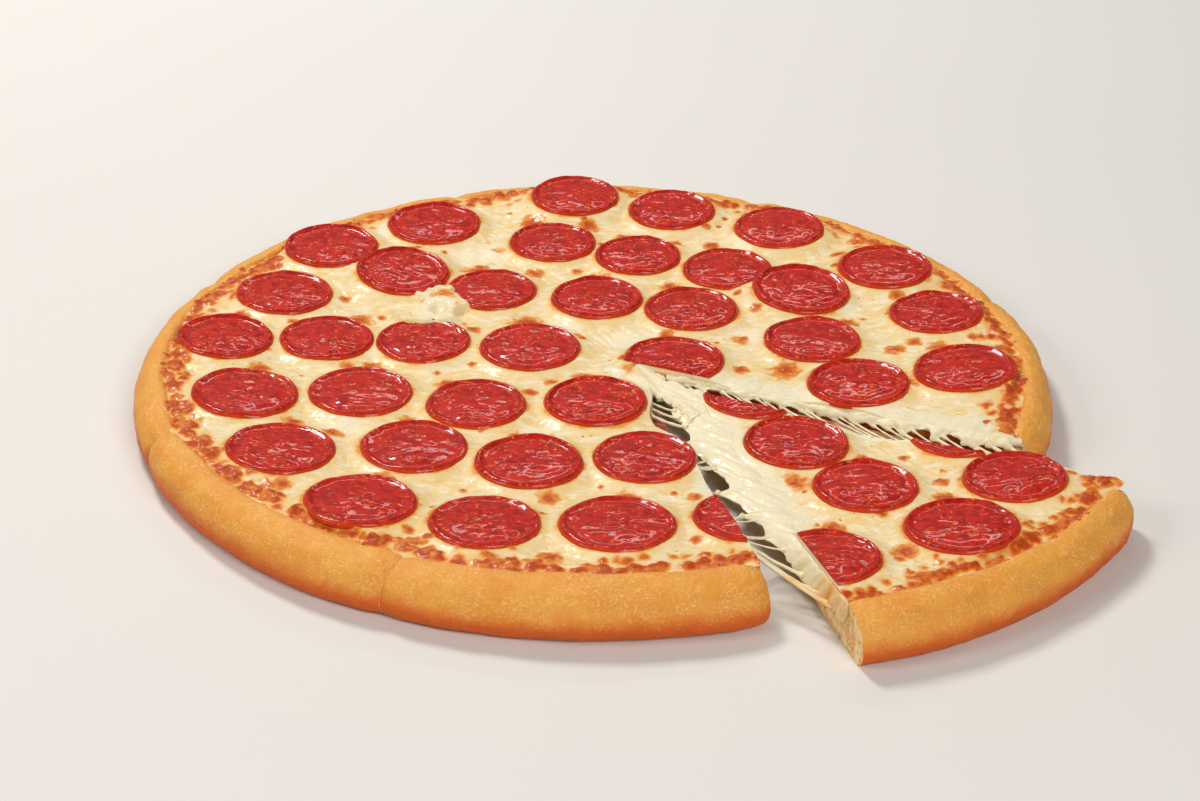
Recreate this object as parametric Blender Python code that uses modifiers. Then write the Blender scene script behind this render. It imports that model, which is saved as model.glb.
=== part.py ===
"""A fourteen-inch pepperoni pizza, cut into eight, with one piece drawn out on strings of cheese.

Units are metres and +Z is up. The pizza lies on the plane z = 0 with its front towards -Y. Each piece
of dough is a turned profile: the tip lies where the cuts meet and the rim at the far end. Sauce and
cheese lie on the dough as turned sheets, and each round of pepperoni lies on the cheese.
"""

import math

import bmesh
import bpy
from mathutils import Matrix, Vector, noise

MM = 0.001

# The whole
PIZZA_RADIUS = 176.5 * MM
OUTLINE_WAVE = 1.4 * MM
PIZZA_CENTRE = (-8 * MM, 6 * MM)
PIECE_GAP = 0.3 * MM

# Where the cuts meet, and their directions from there in degrees
CUTS_MEET = (17 * MM, 1 * MM)
CUT_ANGLES = (336.3, 382.2, 431.2, 476.3, 517.9, 559.9, 601.3, 645.0)

# The piece that is drawn out: where its tip lies, and the directions of its two sides
TIP = (39 * MM, -22 * MM)
PULLED_START = 286.7
PULLED_END = 335.2
PULLED_REACH = 0.99

# Dough: the crumb under the sauce, and the raised rim
DOUGH_THICKNESS = 7 * MM
NOMINAL_EDGE = 155 * MM
DOUGH_PROFILE = (
    (171.5, 0.0), (174.8, 2.2), (176.5, 6.0), (176.0, 10.0), (173.8, 13.6), (170.0, 16.4),
    (165.0, 18.2), (160.5, 18.6), (157.5, 17.6), (155.6, 15.0), (155.0, 11.0), (155.0, 7.0),
)
RIM_DRAW = 0.75
DOUGH_STEP = 3.3

# Sauce and cheese
SAUCE_BOTTOM = 7.3 * MM
SAUCE_TOP = 8.5 * MM
CHEESE_BOTTOM = 8.8 * MM
CHEESE_LEVEL = 12.2 * MM
FRONT_RISE = 4.0 * MM
BACK_RISE = 1.3 * MM
RISE_START = 70 * MM
RISE_LENGTH = 80 * MM
CHEESE_RINGS = (25, 50, 75, 95, 113, 128, 139, 146, 151)
CHEESE_STEP = 3.1
BACK_EDGE = 163 * MM
SIDE_EDGE = 161 * MM
FRONT_EDGE = 153 * MM
BACK_RIM_SHARE = 0.80
EDGE_WAVE = 1.2 * MM
CRUST_WIDTH = 11 * MM
CRUST_HEIGHT = 1.6 * MM

# Pepperoni: the places are (x, y, diameter) in millimetres from the pizza's centre
THICKNESS = 1.9 * MM
CLEARANCE = 0.4 * MM
DISH = 0.5 * MM
ROUND_SIDES = 18
MAIN_ROUNDS = {
    1: (-9, 152, 38.5), 2: (33, 141.5, 38), 3: (78.5, 123.5, 39), 4: (-69, 126, 40),
    5: (-110.5, 100, 40), 6: (-18, 110, 37), 7: (18, 98, 36.5), 8: (55, 85.5, 38),
    9: (120, 84.5, 39.5), 10: (-79, 77.5, 39), 11: (-125.5, 57.5, 39.5), 12: (-42, 64.5, 37),
    13: (1, 58, 38), 14: (39, 48.5, 38.5), 15: (84, 63.5, 40.5), 16: (137, 43, 38),
    17: (-144, 14, 38), 18: (-105, 18.5, 37.5), 19: (-67, 18.5, 37.5), 20: (-25, 14, 40),
    21: (31, 4, 39.5), 22: (86, 22, 39), 23: (142.5, -8, 40), 24: (-131, -31, 40.5),
    25: (-88, -25, 40), 26: (-44, -33, 38.5), 27: (1, -30, 39.5), 28: (101, -15, 39.5),
    29: (-113, -73, 40.5), 30: (-65, -67, 40), 31: (-23, -77, 40), 32: (19, -73, 38.5),
    33: (-81, -111, 40.5), 34: (-37, -123, 40), 35: (9, -123, 41.5), 36: (54.5, -117, 39.5),
}
PULLED_ROUNDS = {
    37: (21.5, -1.5, 38.5), 38: (35.6, -38.4, 39.5), 39: (58.4, -70.6, 38.5), 40: (89, -102, 41),
    41: (112, -67, 38), 42: (40, -122.5, 40), 43: (96, -31.5, 38.5),
}
LEANING = {10: (142, 5.0), 15: (143, 5.0)}
EDGE_LIFT = 0.22

# The cheese that still joins the drawn-out piece to the rest
SHEET_THICKNESS = 1.2 * MM
STRAND_RADIUS = 0.55 * MM


def unit(angle):
    """The flat direction at an angle in radians."""
    return Vector((math.cos(angle), math.sin(angle)))


def wave(angle, turns, seed):
    """A smooth value between -1 and 1 that runs round the pizza, the same at 0 and at a full turn."""
    return noise.noise(Vector((math.cos(angle) * turns, math.sin(angle) * turns, seed)))


def outline_radius(angle):
    """The pizza's radius at the widest part of its rim."""
    return PIZZA_RADIUS + OUTLINE_WAVE * wave(angle, 2.2, 3.7)


def backness(angle):
    """0 round the front and sides, and 1 at the back, where the pizza baked flatter."""
    share = min(1.0, max(0.0, (math.sin(angle) + 0.15) / 0.75))
    return share * share * (3 - 2 * share)


def cheese_radius(angle):
    """How far the cheese reaches: the rim is broader at the front."""
    front = max(0.0, -math.sin(angle)) ** 2
    even = SIDE_EDGE + (FRONT_EDGE - SIDE_EDGE) * front + (BACK_EDGE - SIDE_EDGE) * backness(angle)
    return even + EDGE_WAVE * wave(angle, 7.0, 1.3)


def ray_length(start, angle, radius_at):
    """How far a ray from a start point runs before it meets an outline round the pizza's centre."""
    length = radius_at(angle)
    for _ in range(12):
        point = start + unit(angle) * length
        length += radius_at(math.atan2(point.y, point.x)) - point.length
    return length


def cheese_rise(point):
    """How much the cheese rises on its way from the middle to the rim, on this side of the pizza."""
    return FRONT_RISE + (BACK_RISE - FRONT_RISE) * backness(math.atan2(point.y, point.x))


def cheese_height(point):
    """The level of the cheese: flat in the middle, rising towards the rim."""
    return CHEESE_LEVEL + cheese_rise(point) * max(0.0, (point.length - RISE_START) / RISE_LENGTH) ** 2


def lie_on_cheese(flat, radius):
    """The height and the tilt at which a flat round touches the cheese below it."""
    step = 1 * MM
    along_x, along_y = Vector((step, 0)), Vector((0, step))
    slope = Vector((
        (cheese_height(flat + along_x) - cheese_height(flat - along_x)) / (2 * step),
        (cheese_height(flat + along_y) - cheese_height(flat - along_y)) / (2 * step),
    ))
    level = cheese_height(flat)
    highest = 0.0
    for index in range(12):
        offset = unit(index * math.pi / 6) * radius
        highest = max(highest, cheese_height(flat + offset) - level - slope.dot(offset))
    normal = Vector((-slope.x, -slope.y, 1))
    return level + highest, Vector((0, 0, 1)).rotation_difference(normal).to_matrix().to_4x4()


class Section:
    """One turned piece: a sector between two cuts that start from the same point."""

    def __init__(self, start, first, last, reach=1.0):
        self.start = Vector(start)
        self.reach = reach
        self.first = math.radians(first)
        self.last = math.radians(last)

    @property
    def span(self):
        return self.last - self.first

    def turned(self, profile, step):
        """Spins a closed profile of (radius, height) points through the sector."""
        steps = max(4, round(math.degrees(self.span) / step))
        bm = bmesh.new()
        corners = [bm.verts.new((radius, 0, height)) for radius, height in profile]
        face = bm.faces.new(corners)
        bmesh.ops.spin(
            bm, geom=corners + list(face.edges) + [face], cent=(0, 0, 0), axis=(0, 0, 1),
            angle=self.span, steps=steps, use_duplicate=False,
        )
        bmesh.ops.remove_doubles(bm, verts=bm.verts, dist=0.00001)
        bmesh.ops.dissolve_degenerate(bm, edges=bm.edges, dist=0.000001)
        bmesh.ops.recalc_face_normals(bm, faces=bm.faces)
        return bm

    def place(self, bm, shape):
        """Moves each point of a spun mesh to where shape(angle, radius, height) puts it."""
        clear = PIECE_GAP / 2 / math.sin(self.span / 2)
        outward = unit((self.first + self.last) / 2) * clear
        for vert in bm.verts:
            radius = math.hypot(vert.co.x, vert.co.y)
            turn = math.atan2(vert.co.y, vert.co.x) if radius > 1e-6 else self.span / 2
            turn += 2 * math.pi if turn < -0.001 else 0.0
            angle = self.first + min(max(turn, 0.0), self.span)
            length, height, angle = shape(angle, radius, vert.co.z)
            flat = self.start + outward + unit(angle) * length
            vert.co = (flat.x, flat.y, height)


def material(name, colour, roughness):
    """A plain Principled material."""
    made = bpy.data.materials.new(name)
    made.use_nodes = True
    shader = made.node_tree.nodes["Principled BSDF"]
    shader.inputs["Base Color"].default_value = (*colour, 1)
    shader.inputs["Roughness"].default_value = roughness
    made.diffuse_color = (*colour, 1)
    return made


def add_object(name, bm, finish, parent):
    """Turns a bmesh into a named object with smooth sides."""
    mesh = bpy.data.meshes.new(name)
    bm.to_mesh(mesh)
    bm.free()
    mesh.materials.append(finish)
    mesh.shade_smooth()
    mesh.set_sharp_from_angle(angle=math.radians(40))
    made = bpy.data.objects.new(name, mesh)
    bpy.data.collections["pizza"].objects.link(made)
    made.parent = parent
    return made


def add_dough(name, section, rounding, finish, parent):
    """One piece of dough, its rim rounded off by the given amounts at its two cuts."""
    profile = [(0, 0)] + [(r * MM, z * MM) for r, z in DOUGH_PROFILE] + [(0, DOUGH_THICKNESS)]
    bm = section.turned(profile, DOUGH_STEP)

    def shape(angle, radius, height):
        along = (angle - section.first) / section.span
        along -= RIM_DRAW * math.sin(2 * math.pi * along) / (2 * math.pi)
        angle = section.first + along * section.span
        inner = ray_length(section.start, angle, cheese_radius) + 1.6 * MM
        outer = ray_length(section.start, angle, outline_radius) * section.reach
        if radius <= NOMINAL_EDGE:
            return radius * inner / NOMINAL_EDGE, height, angle
        drop = sum(
            amount * math.exp(-outer * abs(angle - cut) / max(4 * MM, amount))
            for amount, cut in zip(rounding, (section.first, section.last))
        )
        share = (radius - NOMINAL_EDGE) / (PIZZA_RADIUS - NOMINAL_EDGE)
        swell = 1 + 0.06 * wave(angle, 3.1, 8.2) - 8 * drop / PIZZA_RADIUS
        swell *= 1 + (BACK_RIM_SHARE - 1) * backness(angle)
        height = height * swell if height > DOUGH_THICKNESS else height
        return inner + share * (outer - drop - inner), height, angle

    section.place(bm, shape)
    return add_object(name, bm, finish, parent)


def add_sauce(name, section, finish, parent):
    """The thin layer of sauce, which reaches just past the cheese."""
    profile = ((0, SAUCE_BOTTOM), (NOMINAL_EDGE, SAUCE_BOTTOM), (NOMINAL_EDGE, SAUCE_TOP), (0, SAUCE_TOP))
    bm = section.turned(profile, CHEESE_STEP)

    def shape(angle, radius, height):
        edge = ray_length(section.start, angle, cheese_radius) + 0.9 * MM
        return radius * edge / NOMINAL_EDGE, height, angle

    section.place(bm, shape)
    return add_object(name, bm, finish, parent)


def bare(point, rounds):
    """1 where no round of pepperoni covers the cheese, 0 under one, smooth between."""
    nearest = min(
        (point - Vector((x, y)) * MM).length - diameter / 2 * MM for x, y, diameter in rounds.values()
    )
    return min(1.0, max(0.0, (nearest - 1 * MM) / (5 * MM)))


def add_cheese(name, section, rounds, finish, parent):
    """The melted cheese, with the browned and lumpy edge that lies against the rim."""
    top = [(NOMINAL_EDGE, CHEESE_LEVEL)] + [(r * MM, CHEESE_LEVEL) for r in reversed(CHEESE_RINGS)]
    profile = [(0, CHEESE_BOTTOM), (NOMINAL_EDGE, CHEESE_BOTTOM), *top, (0, CHEESE_LEVEL)]
    bm = section.turned(profile, CHEESE_STEP)

    def shape(angle, radius, height):
        edge = ray_length(section.start, angle, cheese_radius)
        length = radius * edge / NOMINAL_EDGE
        if height <= CHEESE_BOTTOM + 0.00001:
            return length, height, angle
        point = section.start + unit(angle) * length
        inward = max(0.0, 1 - (edge - length) / CRUST_WIDTH)
        browned = CRUST_HEIGHT * math.sin(math.pi * min(1.0, inward * 1.2))
        browned *= 0.6 + 0.8 * wave(angle, 22.0, 5.1)
        return length, cheese_height(point) + max(0.0, browned) * bare(point, rounds), angle

    section.place(bm, shape)
    return add_object(name, bm, finish, parent)


def add_round(number, place, sides, finish, parent):
    """One round of pepperoni, dished a little and trimmed where a cut passes through it."""
    x, y, diameter = (value * MM for value in place)
    radius = diameter / 2
    bm = bmesh.new()
    bmesh.ops.create_circle(bm, cap_ends=True, segments=ROUND_SIDES, radius=radius)
    raised = bmesh.ops.extrude_face_region(bm, geom=list(bm.faces))["geom"]
    top = [item for item in raised if isinstance(item, bmesh.types.BMFace)]
    bmesh.ops.translate(
        bm, vec=(0, 0, THICKNESS), verts=[item for item in raised if isinstance(item, bmesh.types.BMVert)]
    )
    bmesh.ops.inset_region(bm, faces=top, thickness=radius * 0.16, depth=DISH)
    inner = bmesh.ops.inset_region(bm, faces=top, thickness=radius * 0.3, depth=-DISH)
    for face in inner["faces"]:
        face.smooth = True
    for vert in bm.verts:
        turn = math.atan2(vert.co.y, vert.co.x)
        uneven = 1 + 0.018 * wave(turn, 1.3, number * 2.7)
        vert.co.x *= uneven
        vert.co.y *= uneven
    for point, outward in sides:
        local = Vector((point.x - x, point.y - y, 0)) - outward.to_3d() * 0.5 * MM
        cut = bmesh.ops.bisect_plane(
            bm, geom=list(bm.verts) + list(bm.edges) + list(bm.faces), plane_co=local,
            plane_no=outward.to_3d(), clear_outer=True,
        )
        rim = [item for item in cut["geom_cut"] if isinstance(item, bmesh.types.BMEdge)]
        if rim:
            bmesh.ops.edgeloop_fill(bm, edges=rim)
    bmesh.ops.recalc_face_normals(bm, faces=bm.faces)
    made = add_object(f"pepperoni_{number:02d}", bm, finish, parent)

    flat = Vector((x, y))
    level, tilt = lie_on_cheese(flat, radius)
    lift = CLEARANCE + EDGE_LIFT * max(0.0, flat.length + radius - cheese_radius(math.atan2(y, x)))
    if number in LEANING:
        towards, degrees = LEANING[number]
        lean = math.radians(degrees)
        turn = math.radians(towards)
        tilt = Matrix.Rotation(-lean, 4, (-math.sin(turn), math.cos(turn), 0)) @ tilt
        lift += radius * math.sin(lean)
    made.matrix_basis = Matrix.Translation((x, y, level + lift)) @ tilt
    return made


def side_planes(section, keep_first, keep_last):
    """Planes along a section's cuts, each as a point and its outward direction."""
    planes = []
    if keep_first:
        planes.append((section.start, -unit(section.first + math.pi / 2)))
    if keep_last:
        planes.append((section.start, unit(section.last + math.pi / 2)))
    return planes


def add_sheet(bm, columns, rows, point_at):
    """Adds a thin curved sheet: a grid whose points are set by point_at(u, v)."""
    grid = bmesh.ops.create_grid(bm, x_segments=columns, y_segments=rows, size=0.5)
    for vert in grid["verts"]:
        vert.co = point_at(vert.co.x + 0.5, vert.co.y + 0.5)
    return grid["verts"]


def sheet_object(name, columns, rows, point_at):
    """A sheet of even thickness as a closed mesh, for joining to others."""
    bm = bmesh.new()
    add_sheet(bm, columns, rows, point_at)
    mesh = bpy.data.meshes.new(name)
    bm.to_mesh(mesh)
    bm.free()
    made = bpy.data.objects.new(name, mesh)
    bpy.context.scene.collection.objects.link(made)
    shell = made.modifiers.new("thickness", "SOLIDIFY")
    shell.thickness = SHEET_THICKNESS
    shell.offset = 0
    return made


def strand_object(name, first, last, sag, radius):
    """A string of cheese between two points, thicker at its ends, as a closed mesh."""
    curve = bpy.data.curves.new(name, "CURVE")
    curve.dimensions = "3D"
    curve.bevel_depth = radius
    curve.bevel_resolution = 1
    curve.use_fill_caps = True
    spline = curve.splines.new("POLY")
    count = 5
    spline.points.add(count - 1)
    for index in range(count):
        share = index / (count - 1)
        point = first.lerp(last, share)
        point.z -= sag * math.sin(math.pi * share)
        spline.points[index].co = (*point, 1)
        spline.points[index].radius = 1 + 0.9 * abs(2 * share - 1) ** 2
    drawn = bpy.data.objects.new(name, curve)
    bpy.context.scene.collection.objects.link(drawn)
    bpy.context.view_layer.update()
    mesh = bpy.data.meshes.new_from_object(drawn.evaluated_get(bpy.context.evaluated_depsgraph_get()))
    bm = bmesh.new()
    bm.from_mesh(mesh)
    bmesh.ops.remove_doubles(bm, verts=bm.verts, dist=0.00001)
    bmesh.ops.recalc_face_normals(bm, faces=bm.faces)
    bm.to_mesh(mesh)
    bm.free()
    made = bpy.data.objects.new(name + "_mesh", mesh)
    made.matrix_world = drawn.matrix_world
    bpy.context.scene.collection.objects.link(made)
    bpy.data.objects.remove(drawn)
    return made


def joined(name, pieces, finish, parent):
    """Makes overlapping pieces one solid."""
    base, *others = pieces
    group = bpy.data.collections.new(name + "_pieces")
    bpy.context.scene.collection.children.link(group)
    for piece in others:
        group.objects.link(piece)
    union = base.modifiers.new("join", "BOOLEAN")
    union.operation = "UNION"
    union.operand_type = "COLLECTION"
    union.collection = group
    bpy.context.view_layer.update()
    mesh = bpy.data.meshes.new_from_object(base.evaluated_get(bpy.context.evaluated_depsgraph_get()))
    for piece in pieces:
        bpy.data.objects.remove(piece)
    bpy.data.collections.remove(group)
    bm = bmesh.new()
    bm.from_mesh(mesh)
    return add_object(name, bm, finish, parent)


def front_pull():
    """The web along the drawn-out piece's left side, and its strings to the front of the gap."""
    tip = Vector(TIP)
    side = unit(math.radians(PULLED_START))
    out = -unit(math.radians(PULLED_START) + math.pi / 2)

    def web(u, v):
        along = (14 + 138 * u) * MM
        width = (11 * (1 - u) ** 0.8 + 1.5 + 2.0 * noise.noise(Vector((u * 16, 0, 2.0)))) * MM
        across = 1.1 * MM + width * v
        flat = tip + side * along + out * across
        height = cheese_height(side * along) - (1.2 + 3.2 * v + 1.2 * u * v) * MM
        return Vector((flat.x, flat.y, height))

    pieces = [sheet_object("front_web", 24, 2, web)]
    cut = unit(math.radians(CUT_ANGLES[-1]))
    inward = unit(math.radians(CUT_ANGLES[-1]) + math.pi / 2)
    for number, (main_along, web_along, reach) in enumerate(
        ((30, 0.06, 0.8), (38, 0.12, 0.8), (70, 0.30, 0.7), (77, 0.36, 0.7), (104, 0.52, 0.6),
         (128, 0.80, 0.5), (131, 0.86, 0.5), (134, 0.93, 0.5))
    ):
        flat = Vector(CUTS_MEET) + cut * main_along * MM + inward * 1.5 * MM
        first = Vector((flat.x, flat.y, cheese_height(flat) - 1.5 * MM))
        last = web(web_along, reach)
        pieces.append(strand_object(f"front_strand_{number}", first, last, 1.2 * MM, STRAND_RADIUS))
    return pieces


def back_pull():
    """The curtain of cheese down the back of the gap, and its strings to the drawn-out piece."""
    start = Vector(CUTS_MEET)
    side = unit(math.radians(CUT_ANGLES[0]))
    out = -unit(math.radians(CUT_ANGLES[0]) + math.pi / 2)

    def curtain(u, v):
        along = (22 + 126 * u) * MM
        depth = (5.2 + 1.6 * noise.noise(Vector((u * 14, 0, 6.0))) + 2.0 * u) * MM
        across = (1.1 + 1.6 * v + 0.5 * math.sin(u * 40)) * MM + 0.5 * MM
        flat = start + side * along + out * across
        height = cheese_height(start + side * along) - 1.0 * MM - depth * v
        return Vector((flat.x, flat.y, height))

    pieces = [sheet_object("back_curtain", 24, 2, curtain)]
    edge = unit(math.radians(PULLED_END))
    clear = unit(math.radians(PULLED_END) + math.pi / 2)
    for number, (curtain_along, piece_along, reach) in enumerate(
        ((0.06, 12, 0.5), (0.16, 27, 0.5), (0.24, 38, 0.5), (0.33, 50, 0.5), (0.45, 66, 0.6),
         (0.56, 84, 0.6), (0.72, 106, 0.6), (0.86, 124, 0.6), (0.95, 136, 0.6))
    ):
        flat = Vector(TIP) + edge * piece_along * MM + clear * 1.6 * MM
        last = Vector((flat.x, flat.y, cheese_height(edge * piece_along * MM) - 2.0 * MM))
        first = curtain(curtain_along, reach)
        pieces.append(strand_object(f"back_strand_{number}", first, last, 0.8 * MM, STRAND_RADIUS))
    return pieces


def clear_scene():
    """Removes what the file starts with."""
    for item in list(bpy.data.objects):
        bpy.data.objects.remove(item)


def add_empty(name, place, parent):
    """A point that other objects hang from."""
    made = bpy.data.objects.new(name, None)
    bpy.data.collections["pizza"].objects.link(made)
    made.location = (*place, 0)
    made.parent = parent
    return made


def build_main(root, dough, sauce, cheese, pepperoni):
    """The seven pieces that are still in place, with what lies on them."""
    soft, open_end = 1.2 * MM, 4.0 * MM
    last_piece = len(CUT_ANGLES) - 2
    for index, (first, last) in enumerate(zip(CUT_ANGLES, CUT_ANGLES[1:])):
        rounding = (open_end if index == 0 else soft, open_end if index == last_piece else soft)
        add_dough(f"dough_{index + 1}", Section(CUTS_MEET, first, last), rounding, dough, root)
    whole = Section(CUTS_MEET, CUT_ANGLES[0], CUT_ANGLES[-1])
    add_sauce("sauce", whole, sauce, root)
    add_cheese("cheese", whole, MAIN_ROUNDS, cheese, root)
    for number, place in MAIN_ROUNDS.items():
        sides = side_planes(whole, number == 21, number == 36)
        add_round(number, place, sides, pepperoni, root)


def build_pulled(root, dough, sauce, cheese, pepperoni):
    """The piece that is drawn out, built about its own tip."""
    tip = add_empty("pulled_piece", TIP, root)
    section = Section((0, 0), PULLED_START, PULLED_END, PULLED_REACH)
    add_dough("dough_pulled", section, (0.8 * MM, 7 * MM), dough, tip)
    add_sauce("sauce_pulled", section, sauce, tip)
    add_cheese("cheese_pulled", section, PULLED_ROUNDS, cheese, tip)
    for number, place in PULLED_ROUNDS.items():
        sides = side_planes(section, number == 42, number in (37, 43))
        add_round(number, place, sides, pepperoni, tip)


def main():
    clear_scene()
    bpy.context.scene.collection.children.link(bpy.data.collections.new("pizza"))
    dough = material("baked_dough", (0.80, 0.37, 0.10), 0.62)
    sauce = material("tomato_sauce", (0.50, 0.07, 0.02), 0.35)
    cheese = material("melted_cheese", (0.82, 0.62, 0.32), 0.40)
    pepperoni = material("pepperoni", (0.55, 0.03, 0.015), 0.32)
    root = add_empty("whole_pizza", PIZZA_CENTRE, None)
    build_main(root, dough, sauce, cheese, pepperoni)
    build_pulled(root, dough, sauce, cheese, pepperoni)
    joined("pull_front", front_pull(), cheese, root)
    joined("pull_back", back_pull(), cheese, root)


main()
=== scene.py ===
"""A pepperoni pizza cut into eight, with one piece drawn out on strings of cheese.

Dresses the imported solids. Each piece of dough gets a pored golden crust, the cheese its blisters and its
browned, lumpy edge, and every round of pepperoni its cupped lip, its wrinkles and its flecks of fat.
Shapes are worked out in millimetres about the pizza's own centre and written to the meshes in metres.
"""

import functools
import logging
import math
from dataclasses import dataclass, field, replace
from enum import Enum
from typing import Any, Callable, Iterable

import bpy
import numpy as np
from mathutils import Matrix, Vector, noise


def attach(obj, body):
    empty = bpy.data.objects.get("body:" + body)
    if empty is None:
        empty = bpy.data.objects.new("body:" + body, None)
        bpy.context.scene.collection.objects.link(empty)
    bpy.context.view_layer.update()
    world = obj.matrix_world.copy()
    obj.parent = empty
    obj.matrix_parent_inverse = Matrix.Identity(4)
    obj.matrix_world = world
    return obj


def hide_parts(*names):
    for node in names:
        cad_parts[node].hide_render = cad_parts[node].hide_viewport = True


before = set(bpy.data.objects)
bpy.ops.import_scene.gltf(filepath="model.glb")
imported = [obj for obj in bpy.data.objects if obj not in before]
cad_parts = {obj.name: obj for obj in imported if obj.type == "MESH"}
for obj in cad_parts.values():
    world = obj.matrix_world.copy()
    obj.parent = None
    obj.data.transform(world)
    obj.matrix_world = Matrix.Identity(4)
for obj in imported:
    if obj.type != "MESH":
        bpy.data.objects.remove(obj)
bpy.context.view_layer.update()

LOG = logging.getLogger("pizza")
MM = 0.001
Array = np.ndarray


class Slot(Enum):
    """The material slots of the part."""

    DOUGH = "dough"
    SAUCE = "sauce"
    CHEESE = "cheese"
    PEPPERONI = "pepperoni"


# Shapes in numbers


TURNS = np.radians(np.arange(0, 360.25, 0.25))


@functools.lru_cache(maxsize=None)
def wave_table(turns: float, seed: float) -> Array:
    """Tabulates a smooth value that runs once round the pizza.

    Args:
        turns: How quickly the value changes on its way round.
        seed: Which of the waves it is.

    Returns:
        The values, between -1 and 1, at the angles of TURNS.
    """
    return np.array([
        noise.noise(Vector((math.cos(angle) * turns, math.sin(angle) * turns, seed))) for angle in TURNS
    ])


def wave(angle: Array, turns: float, seed: float) -> Array:
    """Reads a wave round the pizza at angles in radians."""
    return np.interp(np.mod(angle, 2 * math.pi), TURNS, wave_table(turns, seed))


def ease(value: Array, low: float, high: float) -> Array:
    """Rises smoothly from 0 where the value is low to 1 where it is high."""
    share = np.clip((value - low) / (high - low), 0, 1)
    return share * share * (3 - 2 * share)


def unit(degrees: float) -> Array:
    """The flat direction at an angle in degrees."""
    return np.array([math.cos(math.radians(degrees)), math.sin(math.radians(degrees))])


class Grain:
    """Seeded smooth noise over flat points."""

    def __init__(self, seed: int) -> None:
        """Draws the noise's own tables."""
        rng = np.random.default_rng(seed)
        self.order = np.tile(rng.permutation(256), 2)
        turns = rng.uniform(0, 2 * math.pi, 256)
        self.slopes = np.stack([np.cos(turns), np.sin(turns)])

    def corner(self, column: Array, row: Array) -> Array:
        """The table place that belongs to a corner of the noise's own grid."""
        return self.order[self.order[column & 255] + (row & 255)]

    def at(self, x: Array, y: Array, size: float) -> Array:
        """Reads the noise.

        Args:
            x: First coordinates.
            y: Second coordinates.
            size: The width of one swell, in the coordinates' unit.

        Returns:
            Values between about -1 and 1.
        """
        x, y = x / size, y / size
        column, row = np.floor(x).astype(int), np.floor(y).astype(int)
        across, up = x - column, y - row

        def pull(right: int, above: int) -> Array:
            """What one corner of each point's cell adds at the point."""
            index = self.corner(column + right, row + above)
            return self.slopes[0, index] * (across - right) + self.slopes[1, index] * (up - above)

        share_x = across ** 3 * (across * (across * 6 - 15) + 10)
        share_y = up ** 3 * (up * (up * 6 - 15) + 10)
        low = pull(0, 0) * (1 - share_x) + pull(1, 0) * share_x
        high = pull(0, 1) * (1 - share_x) + pull(1, 1) * share_x
        return 1.5 * (low * (1 - share_y) + high * share_y)

    def layered(self, x: Array, y: Array, size: float, layers: int = 3) -> Array:
        """Adds up ever finer and weaker layers of the noise."""
        return sum(
            self.at(x + 31.7 * layer, y - 17.3 * layer, size / 2 ** layer) / 2 ** layer
            for layer in range(layers)
        )


@dataclass(frozen=True)
class Plan:
    """The pizza's outlines and levels about its own centre, the same as the solids'."""

    radius: float = 176.5
    outline_wave: float = 1.4
    side_edge: float = 161.0
    back_edge: float = 163.0
    front_edge: float = 153.0
    edge_wave: float = 1.2
    level: float = 12.2
    front_rise: float = 4.0
    back_rise: float = 1.3
    rise_start: float = 70.0
    rise_length: float = 80.0
    back_rim_share: float = 0.80
    nominal_edge: float = 155.0
    nominal_rim: float = 21.5
    wall_gap: float = 1.6
    end_fall: float = 8.0

    def outline(self, angle: Array) -> Array:
        """The radius at the widest part of the rim."""
        return self.radius + self.outline_wave * wave(angle, 2.2, 3.7)

    def backness(self, angle: Array) -> Array:
        """0 round the front and sides, and 1 at the back, where the pizza baked flatter."""
        return ease(np.sin(angle), -0.15, 0.60)

    def edge(self, angle: Array) -> Array:
        """How far the cheese reaches."""
        front = np.maximum(0, -np.sin(angle)) ** 2
        even = self.side_edge + (self.front_edge - self.side_edge) * front
        even = even + (self.back_edge - self.side_edge) * self.backness(angle)
        return even + self.edge_wave * wave(angle, 7.0, 1.3)

    def cheese_level(self, x: Array, y: Array) -> Array:
        """The level of the cheese: flat in the middle, rising towards the rim."""
        angle = np.arctan2(y, x)
        length = np.minimum(np.hypot(x, y), self.edge(angle))
        rise = self.front_rise + (self.back_rise - self.front_rise) * self.backness(angle)
        return self.level + rise * np.maximum(0, (length - self.rise_start) / self.rise_length) ** 2

    def rim_swell(self, angle: Array) -> Array:
        """How much taller or flatter than its profile the rim is."""
        swell = 1 + 0.06 * wave(angle, 3.1, 8.2)
        return swell * (1 + (self.back_rim_share - 1) * self.backness(angle))


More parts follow.
